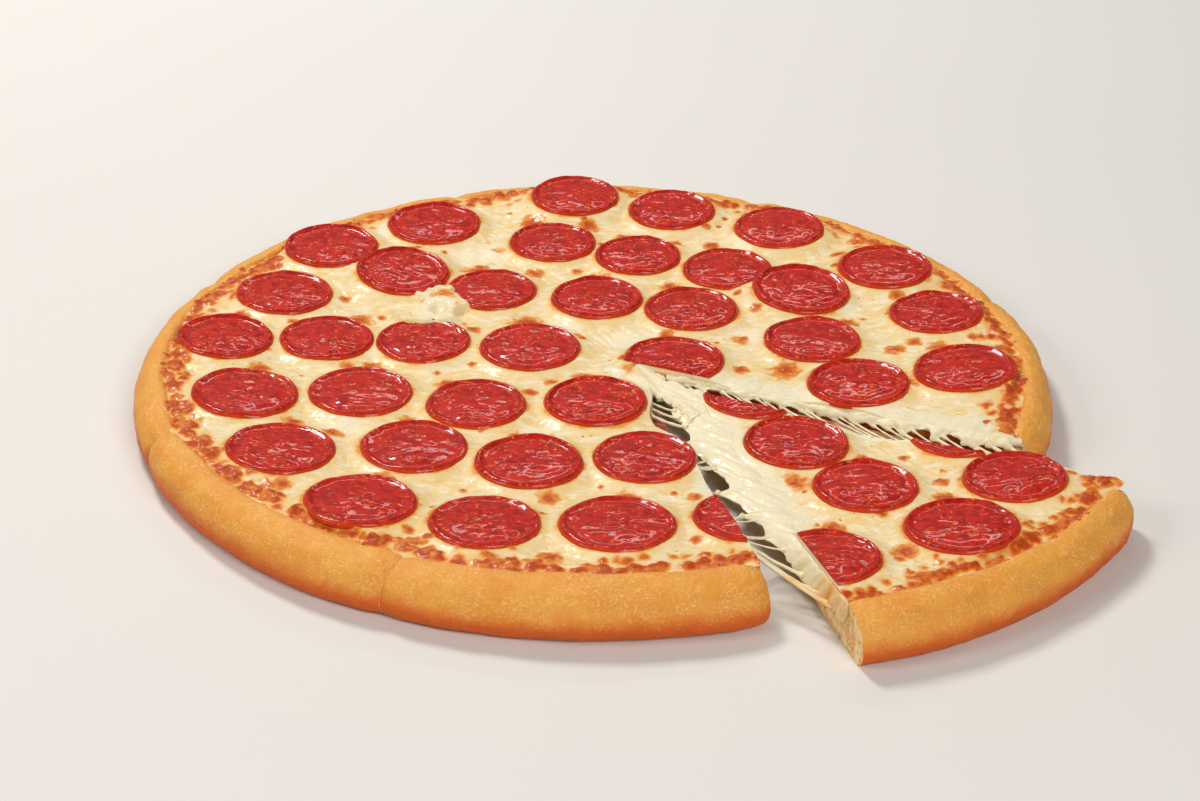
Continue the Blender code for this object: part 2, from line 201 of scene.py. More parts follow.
@dataclass(frozen=True)
class Section:
    """A sector of the pizza between two cuts, in a plan of its own."""

    start: tuple[float, float]
    first: float
    last: float
    centre: tuple[float, float]
    reach: float = 1.0
    rounding: tuple[float, float] = (1.2, 1.2)
    gap: float = 0.3

    @property
    def span(self) -> float:
        """The angle between the two cuts in radians."""
        return math.radians(self.last - self.first)

    @property
    def clear(self) -> Array:
        """How far the sector stands off its start, so that neighbours don't touch."""
        return unit((self.first + self.last) / 2) * self.gap / 2 / math.sin(self.span / 2)

    def ray(self, angle: Array, outline: Callable[[Array], Array]) -> Array:
        """Measures rays from the start to an outline round the plan's centre.

        Args:
            angle: The rays' directions in radians.
            outline: Gives the outline's radius at an angle.

        Returns:
            The rays' lengths.
        """
        length = outline(angle)
        for _ in range(12):
            x = self.start[0] + np.cos(angle) * length
            y = self.start[1] + np.sin(angle) * length
            length = length + outline(np.arctan2(y, x)) - np.hypot(x, y)
        return length

    def flat(self, angle: Array, length: Array) -> tuple[Array, Array]:
        """The plan's points at the given angles and lengths from the start."""
        clear = self.clear
        x = self.start[0] + clear[0] + np.cos(angle) * length
        y = self.start[1] + clear[1] + np.sin(angle) * length
        return x, y

    def drop(self, angle: Array, outer: Array) -> Array:
        """How far the rim's rounded ends fall back from its outline."""
        fall = np.zeros(np.shape(angle))
        for amount, cut in zip(self.rounding, (self.first, self.last)):
            turn = np.abs(np.mod(angle - math.radians(cut) + math.pi, 2 * math.pi) - math.pi)
            fall = fall + amount * np.exp(-outer * turn / max(4.0, amount))
        return fall

    def from_cuts(self, x: Array, y: Array) -> tuple[Array, Array]:
        """How far points lie inside the first and the last cut."""
        first, last = unit(self.first), unit(self.last)
        x, y = x - self.start[0], y - self.start[1]
        return first[0] * y - first[1] * x, last[1] * x - last[0] * y


# Meshes made with Blender's own tools


def deselect() -> None:
    """Leaves object mode with nothing selected."""
    if bpy.context.object and bpy.context.object.mode != "OBJECT":
        bpy.ops.object.mode_set(mode="OBJECT")
    bpy.ops.object.select_all(action="DESELECT")


def named(name: str) -> bpy.types.Object:
    """Names the active object and its mesh."""
    made = bpy.context.object
    made.name = name
    made.data.name = name
    return made


def points_of(piece: bpy.types.Object) -> Array:
    """A piece's points in millimetres, one row each."""
    flat = np.empty(len(piece.data.vertices) * 3)
    piece.data.vertices.foreach_get("co", flat)
    return flat.reshape(-1, 3) / MM


def set_points(piece: bpy.types.Object, points: Array) -> None:
    """Moves a piece's points to places in millimetres."""
    piece.data.vertices.foreach_set("co", (points * MM).ravel())
    piece.data.update()


def set_mask(piece: bpy.types.Object, name: str, values: Array) -> None:
    """Stores one number per point for the materials to read."""
    layer = piece.data.attributes.new(name, "FLOAT", "POINT")
    layer.data.foreach_set("value", values.astype(np.float32))


def smooth(piece: bpy.types.Object, degrees: float) -> None:
    """Shades a piece smooth but for edges that are sharper than an angle."""
    deselect()
    bpy.context.view_layer.objects.active = piece
    piece.select_set(True)
    bpy.ops.object.shade_smooth_by_angle(angle=math.radians(degrees))


def spun(name: str, profile: Iterable[tuple[float, float]], span: float, steps: int) -> bpy.types.Object:
    """Turns a closed profile through a sector, as a solid with flat ends.

    Args:
        name: The object's name.
        profile: Radius and height of each corner in millimetres.
        span: The sector's angle in radians.
        steps: How many parts the sector is divided into.

    Returns:
        The turned object, which starts along +X.
    """
    corners = np.array([(radius, 0.0, height) for radius, height in profile])
    deselect()
    bpy.ops.mesh.primitive_circle_add(vertices=len(corners), radius=0.1, fill_type="NGON")
    made = named(name)
    set_points(made, corners)
    bpy.ops.object.mode_set(mode="EDIT")
    bpy.ops.mesh.select_all(action="SELECT")
    bpy.ops.mesh.spin(steps=steps, angle=-span, center=(0, 0, 0), axis=(0, 0, 1))
    bpy.ops.mesh.select_all(action="SELECT")
    bpy.ops.mesh.remove_doubles(threshold=0.00002)
    bpy.ops.mesh.dissolve_degenerate(threshold=0.000001)
    bpy.ops.mesh.select_all(action="SELECT")
    bpy.ops.mesh.normals_make_consistent(inside=False)
    bpy.ops.object.mode_set(mode="OBJECT")
    return made


def copied(blank: bpy.types.Object, name: str) -> bpy.types.Object:
    """Copies an object with its mesh under a new name."""
    piece = blank.copy()
    piece.data = blank.data.copy()
    bpy.context.scene.collection.objects.link(piece)
    piece.name = piece.data.name = name
    return piece


def polar(piece: bpy.types.Object, section: Section) -> tuple[Array, Array, Array]:
    """Reads a turned piece's points.

    Args:
        piece: What spun() made.
        section: The sector that it is to fill.

    Returns:
        Each point's angle in the plan in radians, its nominal radius and its height.
    """
    points = points_of(piece)
    radius = np.hypot(points[:, 0], points[:, 1])
    turn = np.where(radius > 1e-3, np.arctan2(points[:, 1], points[:, 0]), section.span / 2)
    turn = np.clip(np.where(turn < -0.001, turn + 2 * math.pi, turn), 0, section.span)
    return math.radians(section.first) + turn, radius, points[:, 2]


def rounded_path(corners: Iterable[tuple[float, float]], count: int) -> Array:
    """Runs a smooth line through corners.

    Args:
        corners: The points that the line passes through.
        count: How many points the line gets.

    Returns:
        The line's points, evenly spread, one row each.
    """
    given = np.array(list(corners), float)
    padded = np.vstack([2 * given[0] - given[1], given, 2 * given[-1] - given[-2]])
    share = np.linspace(0, 1, 12, endpoint=False)[:, None]
    fine = [
        0.5 * (
            2 * b + (c - a) * share + (2 * a - 5 * b + 4 * c - d) * share ** 2
            + (3 * b - a - 3 * c + d) * share ** 3
        )
        for a, b, c, d in zip(padded, padded[1:], padded[2:], padded[3:])
    ]
    line = np.vstack(fine + [given[-1:]])
    run = np.concatenate([[0], np.cumsum(np.hypot(*np.diff(line, axis=0).T))])
    even = np.linspace(0, run[-1], count)
    return np.stack([np.interp(even, run, line[:, 0]), np.interp(even, run, line[:, 1])], axis=1)


def hand_over(
    piece: bpy.types.Object, slot: Slot, finishes: Iterable[bpy.types.Material], *nodes: str
) -> None:
    """Gives a finished piece its materials and its place in the frame.

    Args:
        piece: The finished piece.
        slot: The part's material slot that it belongs to; not used.
        finishes: Its materials, in the order of its faces' numbers.
        *nodes: The solids that it stands for.
    """
    for finish in finishes:
        piece.data.materials.append(finish)
    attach(piece, "root")
    if nodes:
        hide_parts(*nodes)
    LOG.info("%s: %d faces", piece.name, len(piece.data.polygons))


# Finishes


def tone(red: int, green: int, blue: int) -> tuple[float, float, float, float]:
    """A colour as it looks on a screen, for a shader."""
    return (*(
        value / 12.92 if value <= 0.04045 else ((value + 0.055) / 1.055) ** 2.4
        for value in (red / 255, green / 255, blue / 255)
    ), 1.0)


class Value:
    """A shader socket that takes part in sums, differences and products."""

    def __init__(self, paint: "Paint", socket: bpy.types.NodeSocket) -> None:
        """Keeps a socket and the material that it belongs to."""
        self.paint = paint
        self.socket = socket

    def joined(self, operation: str, first: Any, second: Any) -> "Value":
        """The result of a Math node on two values."""
        made = self.paint.node("ShaderNodeMath", {"operation": operation}, {0: first, 1: second})
        return Value(self.paint, made.outputs[0])

    def __add__(self, other: Any) -> "Value":
        """The sum with a number or a value."""
        return self.joined("ADD", self, other)

    __radd__ = __add__

    def __sub__(self, other: Any) -> "Value":
        """The difference from a number or a value."""
        return self.joined("SUBTRACT", self, other)

    def __rsub__(self, other: Any) -> "Value":
        """A number less this value."""
        return self.joined("SUBTRACT", other, self)

    def __mul__(self, other: Any) -> "Value":
        """The product with a number or a value."""
        return self.joined("MULTIPLY", self, other)

    __rmul__ = __mul__

    def eased(self, low: float, high: float) -> "Value":
        """Rises smoothly from 0 at the low value to 1 at the high one."""
        made = self.paint.node(
            "ShaderNodeMapRange", {"interpolation_type": "SMOOTHSTEP"},
            {"Value": self, "From Min": low, "From Max": high},
        )
        return Value(self.paint, made.outputs["Result"])

    def folded(self) -> "Value":
        """How far the value is from one half, doubled, which turns soft noise into creases."""
        made = self.joined("SUBTRACT", self, 0.5)
        return self.joined("ABSOLUTE", made, 0.0) * 2

    def clipped(self) -> "Value":
        """The value held between 0 and 1."""
        made = self.paint.node("ShaderNodeClamp", {}, {"Value": self})
        return Value(self.paint, made.outputs[0])


class Paint:
    """A material under construction."""

    def __init__(self, name: str) -> None:
        """Starts a material, which is painted in the object's own coordinates."""
        self.material = bpy.data.materials.new(name)
        self.material.use_nodes = True
        self.tree = self.material.node_tree
        self.shader = self.tree.nodes["Principled BSDF"]
        self.place = self.node("ShaderNodeTexCoord", {}, {}).outputs["Object"]

    def node(self, kind: str, settings: dict[str, Any], sockets: dict[Any, Any]) -> bpy.types.Node:
        """Adds a node.

        Args:
            kind: The node's type.
            settings: Its own properties, which are set first.
            sockets: The values or links of its inputs, by name or number.

        Returns:
            The new node.
        """
        made = self.tree.nodes.new(kind)
        for key, value in settings.items():
            setattr(made, key, value)
        for key, value in sockets.items():
            self.feed(made.inputs[key], value)
        return made

    def feed(self, socket: bpy.types.NodeSocket, value: Any) -> None:
        """Links a value to an input, or sets the input to a constant."""
        if isinstance(value, Value):
            value = value.socket
        if isinstance(value, bpy.types.NodeSocket):
            self.tree.links.new(value, socket)
        else:
            socket.default_value = value

    def mask(self, name: str) -> Value:
        """The number that a piece's mesh holds for each point."""
        made = self.node("ShaderNodeAttribute", {"attribute_name": name}, {})
        return Value(self, made.outputs["Fac"])

    def cloud(self, size: float, detail: float = 2.0, stretch: tuple = (1, 1, 1)) -> Value:
        """Smooth noise about 0.5, with swells of a size in millimetres, drawn out along the axes."""
        place = self.place
        if stretch != (1, 1, 1):
            scale = tuple(1 / share for share in stretch)
            place = self.node("ShaderNodeMapping", {}, {"Vector": self.place, "Scale": scale}).outputs[0]
        made = self.node(
            "ShaderNodeTexNoise", {}, {"Vector": place, "Scale": 1 / (size * MM), "Detail": detail},
        )
        return Value(self, made.outputs["Fac"])

    def cells(self, size: float) -> Value:
        """The distance to the nearest of scattered points, as a share of their spacing in millimetres."""
        made = self.node("ShaderNodeTexVoronoi", {}, {"Vector": self.place, "Scale": 1 / (size * MM)})
        return Value(self, made.outputs["Distance"])

    def mix(self, first: Any, second: Any, share: Any) -> bpy.types.NodeSocket:
        """A colour between two, at a share of 0 the first."""
        made = self.node("ShaderNodeMix", {"data_type": "RGBA"}, {0: share, 6: first, 7: second})
        return made.outputs[2]

    def relief(self, height: Value, depth: float, strength: float = 1.0) -> None:
        """Lets a height between 0 and 1, of a depth in millimetres, tilt the surface."""
        made = self.node(
            "ShaderNodeBump", {}, {"Height": height, "Distance": depth * MM, "Strength": strength},
        )
        self.feed(self.shader.inputs["Normal"], made.outputs["Normal"])

    def finish(self, **sockets: Any) -> bpy.types.Material:
        """Sets the shader's inputs, named with underscores, and gives the material."""
        for key, value in sockets.items():
            self.feed(self.shader.inputs[key.replace("_", " ").title().replace("Ior", "IOR")], value)
        return self.material


@dataclass(frozen=True)
class CrustFinish:
    """The rim's baked skin: golden on top, more orange low down from baking and painted bounce light, with
    fine pale pores.
    """

    golden: tuple = tone(231, 160, 64)
    pale: tuple = tone(245, 206, 134)
    deep: tuple = tone(210, 96, 26)
    dark: tuple = tone(178, 74, 22)
    greasy: tuple = tone(224, 140, 48)

    def make(self) -> bpy.types.Material:
        """Builds the material."""
        paint = Paint("baked crust")
        patches = paint.cloud(16, 3).eased(0.38, 0.66)
        colour = paint.mix(self.golden, self.greasy, patches * 0.55)
        # Low down the skin turns deep orange, then darker: partly deeper baking, partly painted orange bounce
        # light.
        bake_and_bounce_light = (paint.mask("bake_and_bounce_light") + (paint.cloud(9, 3) - 0.5) * 0.5).clipped()
        colour = paint.mix(colour, self.deep, bake_and_bounce_light.eased(0.12, 0.82))
        colour = paint.mix(colour, self.dark, bake_and_bounce_light.eased(0.85, 1.35) * 0.5)
        speck = (1 - paint.cells(1.3).eased(0.16, 0.42)) * paint.cloud(5, 2).eased(0.36, 0.60)
        fleck = paint.cloud(0.65, 2, (1.5, 1.5, 1)).eased(0.48, 0.68) * paint.cloud(7, 2).eased(0.30, 0.62)
        light = (speck * 0.35 + fleck * 0.50).clipped() * (1 - bake_and_bounce_light.eased(0.15, 0.85) * 0.85)
        colour = paint.mix(colour, self.pale, light.clipped())
        dimples = paint.cloud(0.9, 3) * 0.45 + paint.cloud(2.6, 2) * 0.6 + speck * 0.2
        paint.relief(dimples, 0.7, 0.85)
        return paint.finish(
            base_color=colour, roughness=0.46 + paint.cloud(2.5, 2) * 0.25, specular_ior_level=0.26,
            subsurface_weight=0.12, subsurface_radius=(1.0, 0.45, 0.2), subsurface_scale=0.002,
        )


@dataclass(frozen=True)
class CrumbFinish:
    """The torn, pored crumb that shows where the pizza is cut."""

    crumb: tuple = tone(248, 218, 160)
    shaded: tuple = tone(238, 184, 112)
    pore_shade: tuple = tone(206, 146, 84)

    def make(self) -> bpy.types.Material:
        """Builds the material."""
        paint = Paint("crumb")
        colour = paint.mix(self.crumb, self.shaded, paint.cloud(5, 3).eased(0.40, 0.65))
        pits = 1 - paint.cells(2.2).eased(0.12, 0.42)
        fine = paint.cloud(1.0, 3)
        # Painted shade: the pores are darkened where the relief sinks into them.
        colour = paint.mix(colour, self.pore_shade, pits * paint.cloud(4, 1).eased(0.42, 0.62) * 0.7)
        paint.relief(1 - pits * 0.7 + fine * 0.5, 0.8)
        return paint.finish(base_color=colour, roughness=0.82)


@dataclass(frozen=True)
class BaseFinish:
    """The underside, browned in spots by the pan and dusted with flour."""

    baked: tuple = tone(214, 158, 92)
    spot: tuple = tone(150, 88, 42)
    flour: tuple = tone(240, 224, 196)

    def make(self) -> bpy.types.Material:
        """Builds the material."""
        paint = Paint("baked underside")
        colour = paint.mix(self.baked, self.spot, paint.cloud(9, 4).eased(0.46, 0.66))
        colour = paint.mix(colour, self.flour, paint.cloud(3.5, 4).eased(0.55, 0.72) * 0.7)
        paint.relief(paint.cloud(1.5, 3), 0.5)
        return paint.finish(base_color=colour, roughness=0.85)


@dataclass(frozen=True)
class SauceFinish:
    """Cooked tomato sauce with darker bits of herb and pulp."""

    red: tuple = tone(176, 52, 24)
    deep: tuple = tone(122, 26, 14)
    bit: tuple = tone(88, 40, 16)

    def make(self) -> bpy.types.Material:
        """Builds the material."""
        paint = Paint("tomato sauce")
        colour = paint.mix(self.red, self.deep, paint.cloud(3, 3).eased(0.4, 0.65))
        colour = paint.mix(colour, self.bit, (1 - paint.cells(3.1).eased(0.08, 0.2)) * 0.8)
        paint.relief(paint.cloud(1.2, 3), 0.4)
        return paint.finish(base_color=colour, roughness=0.28 + paint.cloud(2, 2) * 0.25)


@dataclass(frozen=True)
class CheeseFinish:
    """Melted cheese: cream with yellow oil, blisters, a browned edge, whiter stretched parts and painted
    shade by rounds and cut walls.
    """

    cream: tuple = tone(235, 212, 162)
    white: tuple = tone(240, 227, 193)
    yellow: tuple = tone(234, 200, 130)
    orange: tuple = tone(226, 144, 54)
    brown: tuple = tone(213, 118, 41)
    red: tuple = tone(184, 68, 19)
    dark: tuple = tone(96, 30, 16)

    def make(self) -> bpy.types.Material:
        """Builds the material."""
        paint = Paint("melted cheese")
        stretch = paint.mask("stretch")
        colour = paint.mix(self.cream, self.yellow, paint.cloud(11, 3).eased(0.44, 0.66) * 0.75)
        shreds = paint.cloud(2.6, 3, (2.2, 1, 1))
        colour = paint.mix(colour, self.white, shreds.eased(0.46, 0.66) * 0.85)
        colour = paint.mix(colour, self.yellow, shreds.eased(0.46, 0.34) * 0.35)
        colour = paint.mix(colour, self.white, stretch.clipped())
        drops = paint.cloud(3.4, 3, (1.5, 1, 1)).eased(0.56, 0.68) * (1 - stretch * 0.8)
        colour = paint.mix(colour, self.yellow, drops * 0.8)
        # The oil mask also holds a painted shade line against each round, which turns orange here.
        oil = (paint.mask("oil") * (0.45 + paint.cloud(2.2, 2) * 1.1)).clipped()
        colour = paint.mix(colour, self.yellow, oil.eased(0.08, 0.60) * 0.8)
        colour = paint.mix(colour, self.orange, oil.eased(0.50, 1.0))
        specks = paint.cloud(1.7, 2).eased(0.66, 0.74) * paint.cloud(9, 1).eased(0.5, 0.6) * (1 - stretch)
        baked = paint.mask("blister")
        baked = (baked + (paint.cloud(1.6, 3) - 0.5) * 0.9 * baked.eased(0.0, 0.6) + specks * 0.6).clipped()
        colour = paint.mix(colour, self.orange, baked.eased(0.10, 0.50))
        colour = paint.mix(colour, self.brown, baked.eased(0.34, 0.72))
        colour = paint.mix(colour, self.red, baked.eased(0.62, 0.95) * 0.85)
        # On the sheets' cut walls the browned mask is partly sauce colour and partly painted shade.
        browned = (paint.mask("browned") * (0.80 + paint.cloud(1.6, 3) * 0.4)).clipped()
        colour = paint.mix(colour, self.orange, browned.eased(0.10, 0.40))
        colour = paint.mix(colour, self.brown, browned.eased(0.42, 0.66))
        colour = paint.mix(colour, self.red, browned.eased(0.60, 0.90) * paint.cloud(4, 2).eased(0.36, 0.56))
        burnt = browned.eased(0.90, 1.0) * paint.cloud(2, 2).eased(0.54, 0.68) * 0.5
        colour = paint.mix(colour, self.dark, burnt)
        height = paint.cloud(0.9, 3) * 0.20 + shreds * 0.5
        paint.relief(height, 0.9, 0.9)
        rough = 0.48 + (paint.cloud(1.3, 2) - 0.5) * 0.3
        wet = paint.cloud(2.4, 2).eased(0.46, 0.66) * 0.35 * (1 - browned * 0.7)
        coat = (wet + oil * 0.14 + browned * 0.06).clipped()
        return paint.finish(
            base_color=colour, roughness=rough.clipped(), specular_ior_level=0.12,
            coat_weight=coat, coat_roughness=0.11, coat_ior=1.45,
            subsurface_weight=0.22, subsurface_radius=(1.0, 0.55, 0.25), subsurface_scale=0.0025,
        )


@dataclass(frozen=True)
class PepperoniFinish:
    """Cured sausage: red meat with small flecks of fat, greasy and finely wrinkled."""

    red: tuple = tone(196, 32, 16)
    deep: tuple = tone(162, 16, 10)
    dull: tuple = tone(188, 48, 30)
    fat: tuple = tone(240, 142, 70)
    rim: tuple = tone(212, 80, 30)

    def make(self) -> bpy.types.Material:
        """Builds the material."""
        paint = Paint("pepperoni")
        colour = paint.mix(self.red, self.deep, paint.cloud(3.4, 3).eased(0.42, 0.64))
        colour = paint.mix(colour, self.dull, paint.mask("dull") * paint.cloud(6, 2).eased(0.30, 0.66))
        dots = (1 - paint.cells(1.9).eased(0.16, 0.34)) * paint.cloud(3.0, 1).eased(0.44, 0.60)
        fleck = paint.cloud(1.3, 2, (1.5, 1, 1)).eased(0.62, 0.70)
        fat = (dots * 0.8 + fleck * 0.7).clipped() * paint.cloud(8, 1).eased(0.28, 0.60)
        colour = paint.mix(colour, self.fat, fat * 0.85)
        colour = paint.mix(colour, self.rim, paint.mask("rim") * 0.8)
        creases = paint.cloud(3.2, 1, (1.7, 1, 1)).folded() + paint.cloud(1.7, 1, (1.6, 1, 1)).folded() * 0.5
        crumpled = paint.mask("crumpled") * 0.85 + 0.15
        paint.relief(creases * crumpled, 0.62)
        return paint.finish(
            base_color=colour, roughness=0.42 + paint.cloud(2.2, 2) * 0.16, specular_ior_level=0.08,
            coat_weight=0.40, coat_roughness=0.07, coat_ior=1.45,
            subsurface_weight=0.08, subsurface_radius=(1.0, 0.2, 0.1), subsurface_scale=0.0015,
        )


@dataclass(frozen=True)
class FloorFinish:
    """A plain pale studio floor."""

    pale: tuple = tone(227, 224, 219)
    dim: tuple = tone(223, 220, 214)

    def make(self) -> bpy.types.Material:
        """Builds the material."""
        paint = Paint("pale floor")
        colour = paint.mix(self.pale, self.dim, paint.cloud(300, 1))
        return paint.finish(base_color=colour, roughness=0.7)


# The pizza's parts


@dataclass(frozen=True)
class Round:
    """One round of pepperoni as it lies on the cheese."""

    number: int
    x: float
    y: float
    diameter: float
    lean: tuple[float, float] | None = None
    clearance: float = 0.4
    edge_lift: float = 0.22

    @property
    def radius(self) -> float:
        """Half the round's width."""
        return self.diameter / 2

    def outline(self, turn: Array) -> Array:
        """How much wider than its radius the round is at an angle about its own middle."""
        return 1 + 0.018 * wave(turn, 1.3, self.number * 2.7)

    def near(self, x: Array, y: Array, reach: float) -> tuple[Array, Array]:
        """Finds the points on the round or close to it.

        Args:
            x: The points' first coordinates in the plan.
            y: Their second coordinates.
            reach: How far past the round they may lie.

        Returns:
            Which points they are, and how far each of them lies past the round's edge.
        """
        near = np.hypot(x - self.x, y - self.y) < self.radius + reach
        right, up = x[near] - self.x, y[near] - self.y
        away = np.hypot(right, up) - self.radius * self.outline(np.arctan2(up, right))
        return near, away

    def lie(self, plan: Plan) -> Matrix:
        """Lays the flat round on the cheese, where it touches the highest point under it.

        Args:
            plan: The levels of the cheese.

        Returns:
            The place and tilt of the round's underside in the plan.
        """
        def level(x: float, y: float) -> float:
            """The level of the cheese at a place beside the round's middle."""
            return float(plan.cheese_level(np.array(self.x + x), np.array(self.y + y)))

        slope = ((level(1, 0) - level(-1, 0)) / 2, (level(0, 1) - level(0, -1)) / 2)
        here = level(0, 0)
        highest = 0.0
        for degrees in range(0, 360, 30):
            x, y = unit(degrees) * self.radius
            highest = max(highest, level(x, y) - here - slope[0] * x - slope[1] * y)
        tilt = Vector((0, 0, 1)).rotation_difference(Vector((-slope[0], -slope[1], 1))).to_matrix().to_4x4()
        past = math.hypot(self.x, self.y) + self.radius - float(plan.edge(np.arctan2(self.y, self.x)))
        lift = self.clearance + self.edge_lift * max(0.0, past)
        if self.lean:
            turn, lean = (math.radians(value) for value in self.lean)
            tilt = Matrix.Rotation(-lean, 4, (-math.sin(turn), math.cos(turn), 0)) @ tilt
            lift += self.radius * math.sin(lean)
        return Matrix.Translation((self.x, self.y, here + highest + lift)) @ tilt

    def under(self, plan: Plan, x: Array, y: Array) -> Array:
        """The level of the round's underside at points of the plan."""
        placed = self.lie(plan)
        normal = placed.to_3x3() @ Vector((0, 0, 1))
        place = placed.translation
        return place.z - ((x - place.x) * normal.x + (y - place.y) * normal.y) / normal.z


@dataclass(frozen=True)
class Topping:
    """Everything that shapes the top of the cheese in one plan."""

    plan: Plan
    rounds: tuple[Round, ...]
    blisters: tuple[tuple[float, float, float], ...]
    cuts: tuple[tuple[float, float, float, float], ...]
    loose: tuple[float, float]
    seed: int
    smears: tuple[tuple[int, float, float], ...] = ()
    pale: tuple[tuple[float, float, float], ...] = ()
    band_centre: float = 0.4
    band_wander: float = 3.0
    chain: tuple[tuple[float, float, float, float, float], ...] = (
        (0.3, 1.0, 0.80, 1.4, 3.2), (-2.6, 1.4, 0.45, 1.0, 2.6),
        (2.6, 0.9, 0.35, 0.9, 2.2), (-6.5, 2.4, 0.22, 0.7, 2.0),
    )
    rim_top: tuple[tuple[float, float], ...] = (
        (154, 9), (155, 12), (155.6, 15), (157.5, 17.6), (160.5, 18.6), (165, 18.2), (170, 16.4),
    )
    held_level: float = 1.35
    lump_step: float = 1.9
    lump_radius: float = 158.0
    edge_brown: float = 0.22

    def masks(self, section: Section, x: Array, y: Array) -> dict[str, Array]:
        """Works out the height of the cheese and its masks.

        Args:
            section: The sector that the points belong to.
            x: The points' first coordinates in the plan.
            y: Their second coordinates.

        Returns:
            The height in millimetres and the masks "browned", "oil", "blister" and "stretch".
        """
        plan, grain, fine = self.plan, Grain(self.seed), Grain(self.seed + 1)
        angle = np.arctan2(y, x)
        past = np.hypot(x, y) - plan.edge(angle)
        height = plan.cheese_level(x, y)
        inside = 1 - ease(past, -5.0, -0.5)
        stretch = self.stretch(section, x, y, grain)
        lumps = 0.42 * grain.layered(x, y, 17, 2)
        turned_x, turned_y = 0.8 * x + 0.6 * y, 0.8 * y - 0.6 * x
        shreds = fine.at(x, y * 2.1, 5.2) + fine.at(turned_x * 2.0, turned_y, 4.6)
        ripples = 0.32 * shreds + 0.17 * fine.at(x, y, 2.1)
        height = height + inside * (lumps + ripples * (1 - 0.6 * stretch))
        height = height - inside * self.healed_cuts(x, y, grain)

        blister = self.blistered(x, y, fine)
        height = height + 0.6 * ease(blister, 0.2, 0.9) * inside
        height, oil = self.held(x, y, height, grain)

        smeared, smear = self.smeared(x, y, fine)
        height = np.maximum(height, smeared)
        stretch = np.maximum(stretch, 0.3 * smear)
        oil = oil * (1 - 0.8 * smear)
        browned, band_height = self.browned(section, past, x, y)
        rim = self.rim_level(section, x, y)
        outside = ease(past, -1.5, 1.5)
        base = height * (1 - outside) + np.maximum(rim - 0.6, plan.cheese_level(x, y) - 0.4) * outside
        free = 1 - 0.85 * self.covered(x, y)
        height = base + band_height * free
        edge_oil = 0.62 * ease(past, -14.0, -3.0) * (0.6 + 0.7 * grain.at(x, y, 6))
        oil = np.maximum(oil * (1 - 0.6 * stretch), edge_oil)
        return {
            "height": height, "browned": browned * (1 - 0.5 * self.covered(x, y)), "oil": np.clip(oil, 0, 1),
            "blister": blister * (1 - stretch), "stretch": stretch,
        }

    def blistered(self, x: Array, y: Array, fine: Grain) -> Array:
        """How far the blisters browned each point, from 0 to 1."""
        share = np.zeros(x.shape)
        for spot_x, spot_y, wide in self.blisters:
            near = np.abs(x - spot_x) + np.abs(y - spot_y) < wide * 3
            away = np.hypot(x[near] - spot_x, y[near] - spot_y) * 2 / wide
            away = away + 0.5 * fine.at(x[near], y[near], 2.6)
            share[near] = np.maximum(share[near], np.clip(1.15 - 0.5 * away, 0, 1))
        return share

    def held(self, x: Array, y: Array, height: Array, grain: Grain) -> tuple[Array, Array]:
        """Brings the cheese up to the edge of every round, and keeps it from covering one.

        Args:
            x: The points' first coordinates in the plan.
            y: Their second coordinates.
            height: The level of the cheese without the rounds.
            grain: The noise that the oil follows.

        Returns:
            The new level, and the oil that gathers round the rounds, with a painted shade line against each
            round's edge.
        """
        height, oil = height.copy(), np.zeros(x.shape)
        for item in self.rounds:
            near, away = item.near(x, y, 14)
            close_x, close_y = x[near], y[near]
            rise = np.maximum(-0.6, item.under(self.plan, close_x, close_y) + self.held_level - height[near])
            share = 1 - ease(away / (1 + 0.7 * np.clip(rise - 0.8, 0, 3)), -0.4, 4.0)
            height[near] = height[near] + share * rise
            # Painted shade and real oil: the tight ring against each round's edge is a painted shade line,
            # the wider halo is oil.
            ring = np.exp(-np.maximum(away, 0) / 1.5) * (0.75 + 0.45 * grain.at(close_x, close_y, 9))
            ring = ring + 0.3 * (1 - ease(away, 1.0, 6.5)) * ease(grain.at(close_x, close_y, 13), -0.2, 0.5)
            oil[near] = np.maximum(oil[near], ring)
        for item in self.rounds:
            near, away = item.near(x, y, 2)
            over = np.maximum(0, height[near] - item.under(self.plan, x[near], y[near]) - self.held_level)
            height[near] = height[near] - over * (1 - ease(away, -0.6, 0.8))
        return height, oil

    def smeared(self, x: Array, y: Array, fine: Grain) -> tuple[Array, Array]:
        """The level and the share of the cheese that ran over the edges of some rounds."""
        level, share = np.zeros(x.shape), np.zeros(x.shape)
        placed = {item.number: item for item in self.rounds}
        for number, degrees, wide in self.smears:
            item = placed.get(number)
            if not item:
                continue
            spot = np.array([item.x, item.y]) + unit(degrees) * item.radius
            near = (np.abs(x - spot[0]) < wide * 4) & (np.abs(y - spot[1]) < wide * 4)
            close_x, close_y, way = x[near], y[near], unit(degrees)
            outward = (close_x - spot[0]) * way[0] + (close_y - spot[1]) * way[1]
            beside = (close_y - spot[1]) * way[0] - (close_x - spot[0]) * way[1]
            away = np.hypot(beside, outward * np.where(outward > 0, 0.45, 1.2)) / wide
            away = away + 0.35 * fine.at(close_x, close_y, 5.0)
            share[near] = np.maximum(share[near], 1 - ease(away, 0.25, 1.30))
            raised = item.under(self.plan, close_x, close_y) + 3.4 * ease(share[near], 0.0, 0.8)
            raised = raised + 0.12 * fine.at(close_x, close_y, 3.0)
            level[near] = np.maximum(level[near], raised)
        return level, share

    def covered(self, x: Array, y: Array) -> Array:
        """1 under a round of pepperoni, 0 beside it."""
        cover = np.zeros(x.shape)
        for item in self.rounds:
            cover = np.maximum(cover, 1 - ease(np.hypot(x - item.x, y - item.y) - item.radius, -1.5, 0.6))
        return cover

